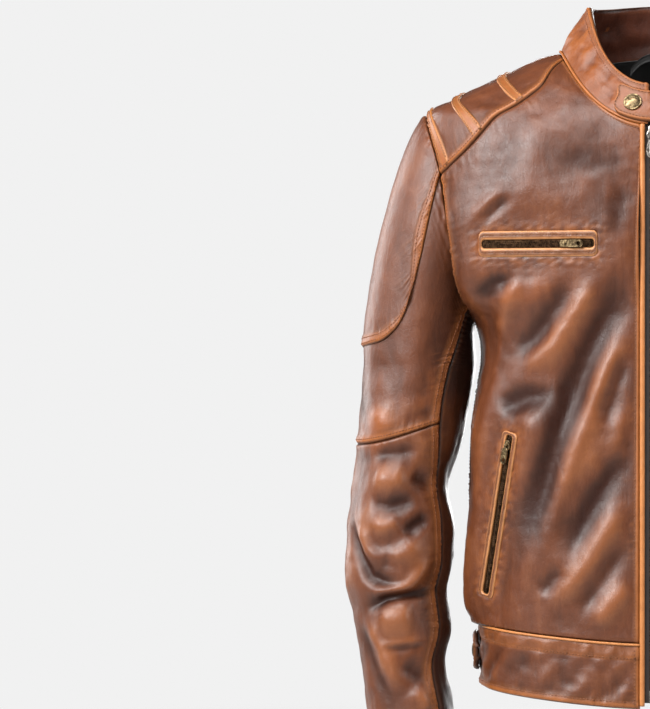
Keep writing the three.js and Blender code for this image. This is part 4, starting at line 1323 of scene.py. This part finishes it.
def stacked(layers):     # outlines at rising heights, closed at both ends
    rings = [np.concatenate([shape, np.full((len(shape), 1), h)], 1) for shape, h in layers]
    return np.concatenate(rings), ringFaces(len(rings), len(rings[0]))


def looped(inner, outer, section):       # a closed ring; section rows are share across, height
    rings = [np.concatenate([mix(inner, outer, t), np.full((len(inner), 1), h)], 1) for t, h in section]
    count = len(inner)
    index = np.arange(len(rings) * count).reshape(len(rings), count)
    after, up = np.roll(index, -1, 1), np.roll(index, -1, 0)
    upAfter = np.roll(up, -1, 1)
    return np.concatenate(rings), [np.stack([index, up, upAfter, after], -1).reshape(-1, 4)]


# a block with softened edges
def pillow(length, width, radius, low, high, soft=0.5, centre=(0, 0), corner=6, straight=8):
    def less(d):
        return outline(length - 2 * d, width - 2 * d, max(radius - d, 0.15), centre, corner, straight)
    rise = ((soft, 0), (soft * 0.3, soft * 0.3), (0, soft))
    return stacked([(less(d), low + up) for d, up in rise]
                   + [(less(d), high - up) for d, up in reversed(rise)])


def toothRow(count, pitch, start, reach, width, low, high):      # teeth along x, reaching over y
    parts = []
    for k in range(count):
        x = start + k * pitch
        parts.append(pillow(width, reach[1] - reach[0], width * 0.3, low, high, 0.25,
                            (x, (reach[0] + reach[1]) / 2), 2, 1))
    return parts


def plateWithHole(length, width, radius, holeAt, holeRadius, low, high):
    outer = outline(length, width, radius, (0, 0), 8, 6)
    away = outer - holeAt
    angle = np.arctan2(away[:, 1], away[:, 0])
    inner = np.array(holeAt) + holeRadius * np.stack([np.cos(angle), np.sin(angle)], -1)
    return looped(inner, outer, [
        (0, low + 0.2), (0.06, low), (0.94, low), (1, low + 0.3), (1, high - 0.3), (0.95, high),
        (0.72, high), (0.62, high - 0.22), (0.3, high - 0.22), (0.2, high), (0.06, high),
        (0, high - 0.2)])


def metalPiece(name, parts, at, material, bodyName, side=1, replaced=()):
    points, faces = joined(parts)
    placed = at(points)
    mirrored = np.linalg.det(at(np.eye(3)) - at(np.zeros((1, 3)))) < 0
    if mirrored:
        faces = [f[:, ::-1] for f in faces]
    piece = makeMesh(name, placed, faces, material, side, smoothShade=False, rest=placed)
    return settle(piece, bodyName, replaced)


mainZip = {"length": 553, "pitch": 2.9, "slider": 1, "pin": 5.5, "pull": 28}
zipTapeLook = {"heart": (0, 0, -300), "materials": [tapeCloth], "thick": 1.0,
               "folds": rippled((4, 0.12))}


def mainTapePlace(i, j):
    across, down = mix(-13.8, -1.6, i), mix(mainZip["length"], 1, j)
    return alongMain(np.stack([across, np.full_like(i, -1.7), down], -1))


def rowsAcross(p):       # tooth blocks are made along x; the main zip runs down
    return alongMain(p[..., [1, 2, 0]])


# the rounded tan edge that stands beside the teeth, down to the foot of the hem
edgeStrip = {"x": -11.0, "half": 2.5, "out": -0.6, "from": 0, "to": 556, "steps": 260, "wave": 0.12}
stripDown = np.linspace(edgeStrip["from"], edgeStrip["to"], edgeStrip["steps"])
strip = np.stack([np.full_like(stripDown, edgeStrip["x"]), np.full_like(stripDown, edgeStrip["out"]),
                  stripDown], -1)
for sideName, s in sides.items():
    wavy = strip.copy()
    wavy[:, 1] += edgeStrip["wave"] * ripple(strip, 5, 97 + s)
    edge = tubeMesh("zipEdge_" + sideName, alongMain(wavy), edgeStrip["half"], leatherTan, s, 14, 0.85)
    settle(edge, "jacket")

teethCount = int((mainZip["length"] - 16) / mainZip["pitch"])
for sideName, s in sides.items():
    panelWithStitches("zipTape", mainTapePlace, (10, 180), edged("plain", "plain"),
                      {**zipTapeLook, "seed": 95},
                      sideName, "jacket", ["zip_half_" + sideName])
    firstTooth = 4 if s > 0 else 4 + mainZip["pitch"] / 2
    teeth = toothRow(teethCount, mainZip["pitch"], firstTooth, (-4.4, 0.7), 1.35, -1.9, -0.2)
    metalPiece("zipTeeth_" + sideName, teeth, rowsAcross, darkBrass, "jacket", s)
sliderTop = mainZip["slider"]
slider = [pillow(15, 11, 3.4, -0.1, 2.0, 0.6, (sliderTop + 7.5, 0)),
          pillow(12, 3.4, 1.2, 1.8, 2.7, 0.4, (sliderTop + 7.5, 0)),
          pillow(3.4, 3.2, 0.9, 2.5, 6.0, 0.5, (sliderTop + 2.4, 0))]
metalPiece("zipSlider", slider, rowsAcross, nickel, "main_slider", 1, ["zip_slider"])
pull = plateWithHole(mainZip["pull"], 15, 6.0, (8.0, 0), 3.4, 3.2, 4.8)
waist = np.exp(-((pull[0][:, 0] + 3) / 5) ** 2)
pull[0][:, 1] *= 1 - 0.22 * waist
pull[0][:, 0] += mainZip["pin"] + mainZip["pull"] / 2
metalPiece("zipPuller", [pull], rowsAcross, nickel, "main_puller", 1, ["zip_puller"])
stop = [pillow(11, 9, 1.6, -0.1, 1.6, 0.4, (mainZip["length"] - 6.5, 0))]
metalPiece("zipStop", stop, rowsAcross, nickel, "jacket", 1, ["zip_stop"])

pocketZips = {"chest": (chestPlane, chestZip), "hand": (handPlane, handZip)}
weltSection = [(0.0, -2.3), (0.0, 0.2), (0.12, 1.0), (0.3, 1.45), (0.42, 1.35), (0.5, 1.1),
               (0.6, 1.35), (0.78, 1.25), (0.93, 0.7), (1.0, -0.2), (1.0, -2.3)]
pocketLook = {"endRoom": 6, "opening": 8.4, "pitch": 1.9, "pullLength": 17, "pullWidth": 7.4,
              "pullReach": 10.3}
for pocket, (plane, spec) in pocketZips.items():
    at, length, width = alongPocket(plane), 2 * plane["half"], plane["width"]
    slot = length - pocketLook["endRoom"]
    inner = outline(slot, pocketLook["opening"], 3, (0, 0), 8, 60)
    outer = outline(length, width, 5, (0, 0), 8, 60)
    points, faces = looped(inner, outer, weltSection)
    shares = np.repeat([t for t, _ in weltSection], len(inner))
    innerWear = 0.9 * np.exp(-((shares - 0.08) / 0.12) ** 2)
    weltWear = np.clip(innerWear + 0.8 * np.exp(-((shares - 0.95) / 0.1) ** 2) + 0.15, 0, 1)
    # painted shade in the groove along the middle of the welt
    weltGrooveShade = np.exp(-((shares - 0.5) / 0.05) ** 2) * 0.6
    placed = at(points)
    wobble = ripple(placed, 3.2, 101, 18) * 0.22
    placed = placed + plane["n"] * (wobble * (points[:, 2] > 0.5))[:, None]
    middle = mix(inner, outer, 0.5)
    path = at(np.concatenate([middle, np.full((len(middle), 1), 1.1)], 1))
    path = np.concatenate([path, path[:1]])
    for sideName, s in sides.items():
        welt = makeMesh(f"{pocket}Welt_{sideName}", placed, [f[:, ::-1] for f in faces], leatherWelt, s,
                        {"wear": weltWear, "seam": weltGrooveShade})
        settle(welt, "jacket", [f"{pocket}_zip_frame_{sideName}"])
        outwards = np.broadcast_to(plane["n"], path.shape)
        threads = stitchMesh(f"stitches_{pocket}Welt_{sideName}", [(path, outwards)], s)
        settle(threads, "jacket")
        pitch = pocketLook["pitch"]
        count = int((slot - 3) / pitch)
        teeth = (toothRow(count, pitch, -slot / 2 + 1.4, (-2.5, 0.45), 0.95, -1.3, -0.1)
                 + toothRow(count, pitch, -slot / 2 + 2.35, (-0.45, 2.5), 0.95, -1.3, -0.1)
                 + [pillow(slot - 0.8, 7.6, 2.6, -2.5, -1.2, 0.3)])
        metalPiece(f"{pocket}Teeth_{sideName}", teeth, at, darkBrass, "jacket", s,
                   [f"{pocket}_zip_chain_{sideName}"])
        slider = [pillow(9.4, 6.8, 2.2, 0.3, 2.2, 0.5, (spec["slider"], 0)),
                  pillow(5.4, 2.4, 0.9, 2.0, 2.9, 0.3, (spec["slider"], 0)),
                  pillow(2.4, 2.8, 0.7, 2.7, 5.3, 0.4, (spec["slider"], 0))]
        pull = plateWithHole(pocketLook["pullLength"], pocketLook["pullWidth"], 3.6,
                             (4.0 * spec["pull"], 0), 1.9, 3.0, 4.4)
        pull[0][:, 0] += spec["slider"] + pocketLook["pullReach"] * spec["pull"]
        for part, blocks in (("Slider", slider), ("Puller", [pull])):
            metalPiece(f"{pocket}{part}_{sideName}", blocks, at, brass,
                       f"{pocket}_{part.lower()}_{sideName}", s,
                       [f"{pocket}_zip_{part.lower()}_{sideName}"])
print("zips made")


# ---- lining and hanger loop ----
def liningHalf(i, j):
    return torso(mix(24, 90, i), mix(4, neckLevel - 4, j))


def liningFolds(p, seed):
    return ripple(p * (1, 1, 0.3), 26, seed) * 0.8


liningLook = {"heart": torsoHeart, "materials": [liningCloth], "lift": -9.0, "thick": 1.1,
              "seed": 110, "folds": liningFolds}
panelWithStitches("backLining", wholeRound(liningHalf), (90, 110),
                  edged("plain", "plain", "plain", "plain"), liningLook,
                  "", "jacket", ["back_lining"])


def loopPlace(i, j):
    t = 2 * i - 1
    return np.stack([24 * t, np.full_like(t, 60.0), -15 * np.abs(t) ** 2.2 - 4 + (j - 0.5) * 7.8], -1)


panelWithStitches("hangerLoop", loopPlace, (60, 12), edged(bottom="loopEdge", top="loopEdge"),
                  {"heart": (0, -200, -10), "materials": [liningCloth], "lift": 0.9, "thick": 1.8,
                   "seed": 113},
                  "", "jacket", ["hanger_loop"])
print("linings made")


# ---- room, light and camera ----
# place, what it points at, width and height, power
lamps = {
    "keyLight": ((-2.0, -2.0, 1.0), (-0.1, 0, -0.25), (1.1, 1.1), 124),
    "topLight": ((-0.5, -1.3, 1.9), (-0.1, 0, -0.2), (1.4, 0.8), 60),
    "frontLight": ((-0.5, -3.2, 0.4), (0, 0, -0.3), (1.2, 1.2), 12),
    "leftStrip": ((-2.3, -0.5, 0.8), (-0.25, 0, -0.25), (0.5, 1.9), 26),
    "rightStrip": ((2.3, -1.0, 0.7), (0.2, 0, -0.3), (0.7, 1.9), 40),
    "backLight": ((0.5, 2.6, 0.1), (0, 0, -0.35), (1.8, 1.5), 90),
    "backLeft": ((-2.3, 1.6, 0.2), (-0.1, 0, -0.35), (0.8, 1.8), 36),
}
for name, (place, aim, size, power) in lamps.items():
    data = bpy.data.lights.new(name, "AREA")
    data.shape, data.size, data.size_y = "RECTANGLE", size[0], size[1]
    data.energy = power
    lampObject = bpy.data.objects.new(name, data)
    bpy.context.scene.collection.objects.link(lampObject)
    lampObject.location = place
    lampObject.rotation_euler = (Vector(aim) - Vector(place)).to_track_quat("-Z", "Y").to_euler()

roomLook = {"colour": "#f1f1f1", "lighting": 0.1, "seen": 1.0}
world = bpy.data.worlds.new("paleRoom")
bpy.context.scene.world = world
world.use_nodes = True
background = world.node_tree.nodes["Background"]
background.inputs["Color"].default_value = tint(roomLook["colour"])
rayKind = world.node_tree.nodes.new("ShaderNodeLightPath")
dimmer = world.node_tree.nodes.new("ShaderNodeMapRange")
dimmer.inputs["To Min"].default_value = roomLook["lighting"]
dimmer.inputs["To Max"].default_value = roomLook["seen"]
world.node_tree.links.new(rayKind.outputs["Is Camera Ray"], dimmer.inputs["Value"])
world.node_tree.links.new(dimmer.outputs["Result"], background.inputs["Strength"])

floorLook = {"radius": 2.85, "height": -1.0, "tone": "#b4b4b3", "fade": 0.7}
rim = np.linspace(0, 2 * math.pi, 97)[:-1]
floorPoints = [(floorLook["radius"] * math.cos(a), floorLook["radius"] * math.sin(a),
                floorLook["height"]) for a in rim]
floorMesh = bpy.data.meshes.new("floor")
floorMesh.from_pydata(floorPoints, [], [tuple(range(len(rim)))])
floorGraph = Graph("paleFloor")
spot = floorGraph.add("ShaderNodeTexCoord", {}, {}, 3)
level = floorGraph.stretch(spot, 1, 1, 0)
reach = floorGraph.add("ShaderNodeVectorMath", {"operation": "LENGTH"}, {0: level}, 1)
fade = 1 - reach.ramp(floorLook["radius"] * floorLook["fade"], floorLook["radius"])
floorMesh.materials.append(floorGraph.finish(Base_Color=tint(floorLook["tone"]), Roughness=0.9,
                                             Alpha=fade))
floor = bpy.data.objects.new("floor", floorMesh)
bpy.context.scene.collection.objects.link(floor)

cameraLook = {"place": (0, -3.06, -0.285), "lens": 152.327, "down": 0.373, "turn": 6.258}
cameraData = bpy.data.cameras.new("camera")
cameraData.lens = cameraLook["lens"]
camera = bpy.data.objects.new("camera", cameraData)
bpy.context.scene.collection.objects.link(camera)
camera.location = cameraLook["place"]
camera.rotation_euler = (math.radians(90 - cameraLook["down"]), 0, math.radians(cameraLook["turn"]))
bpy.context.scene.camera = camera
bpy.context.scene.view_settings.view_transform = "Standard"

print("scene ready")
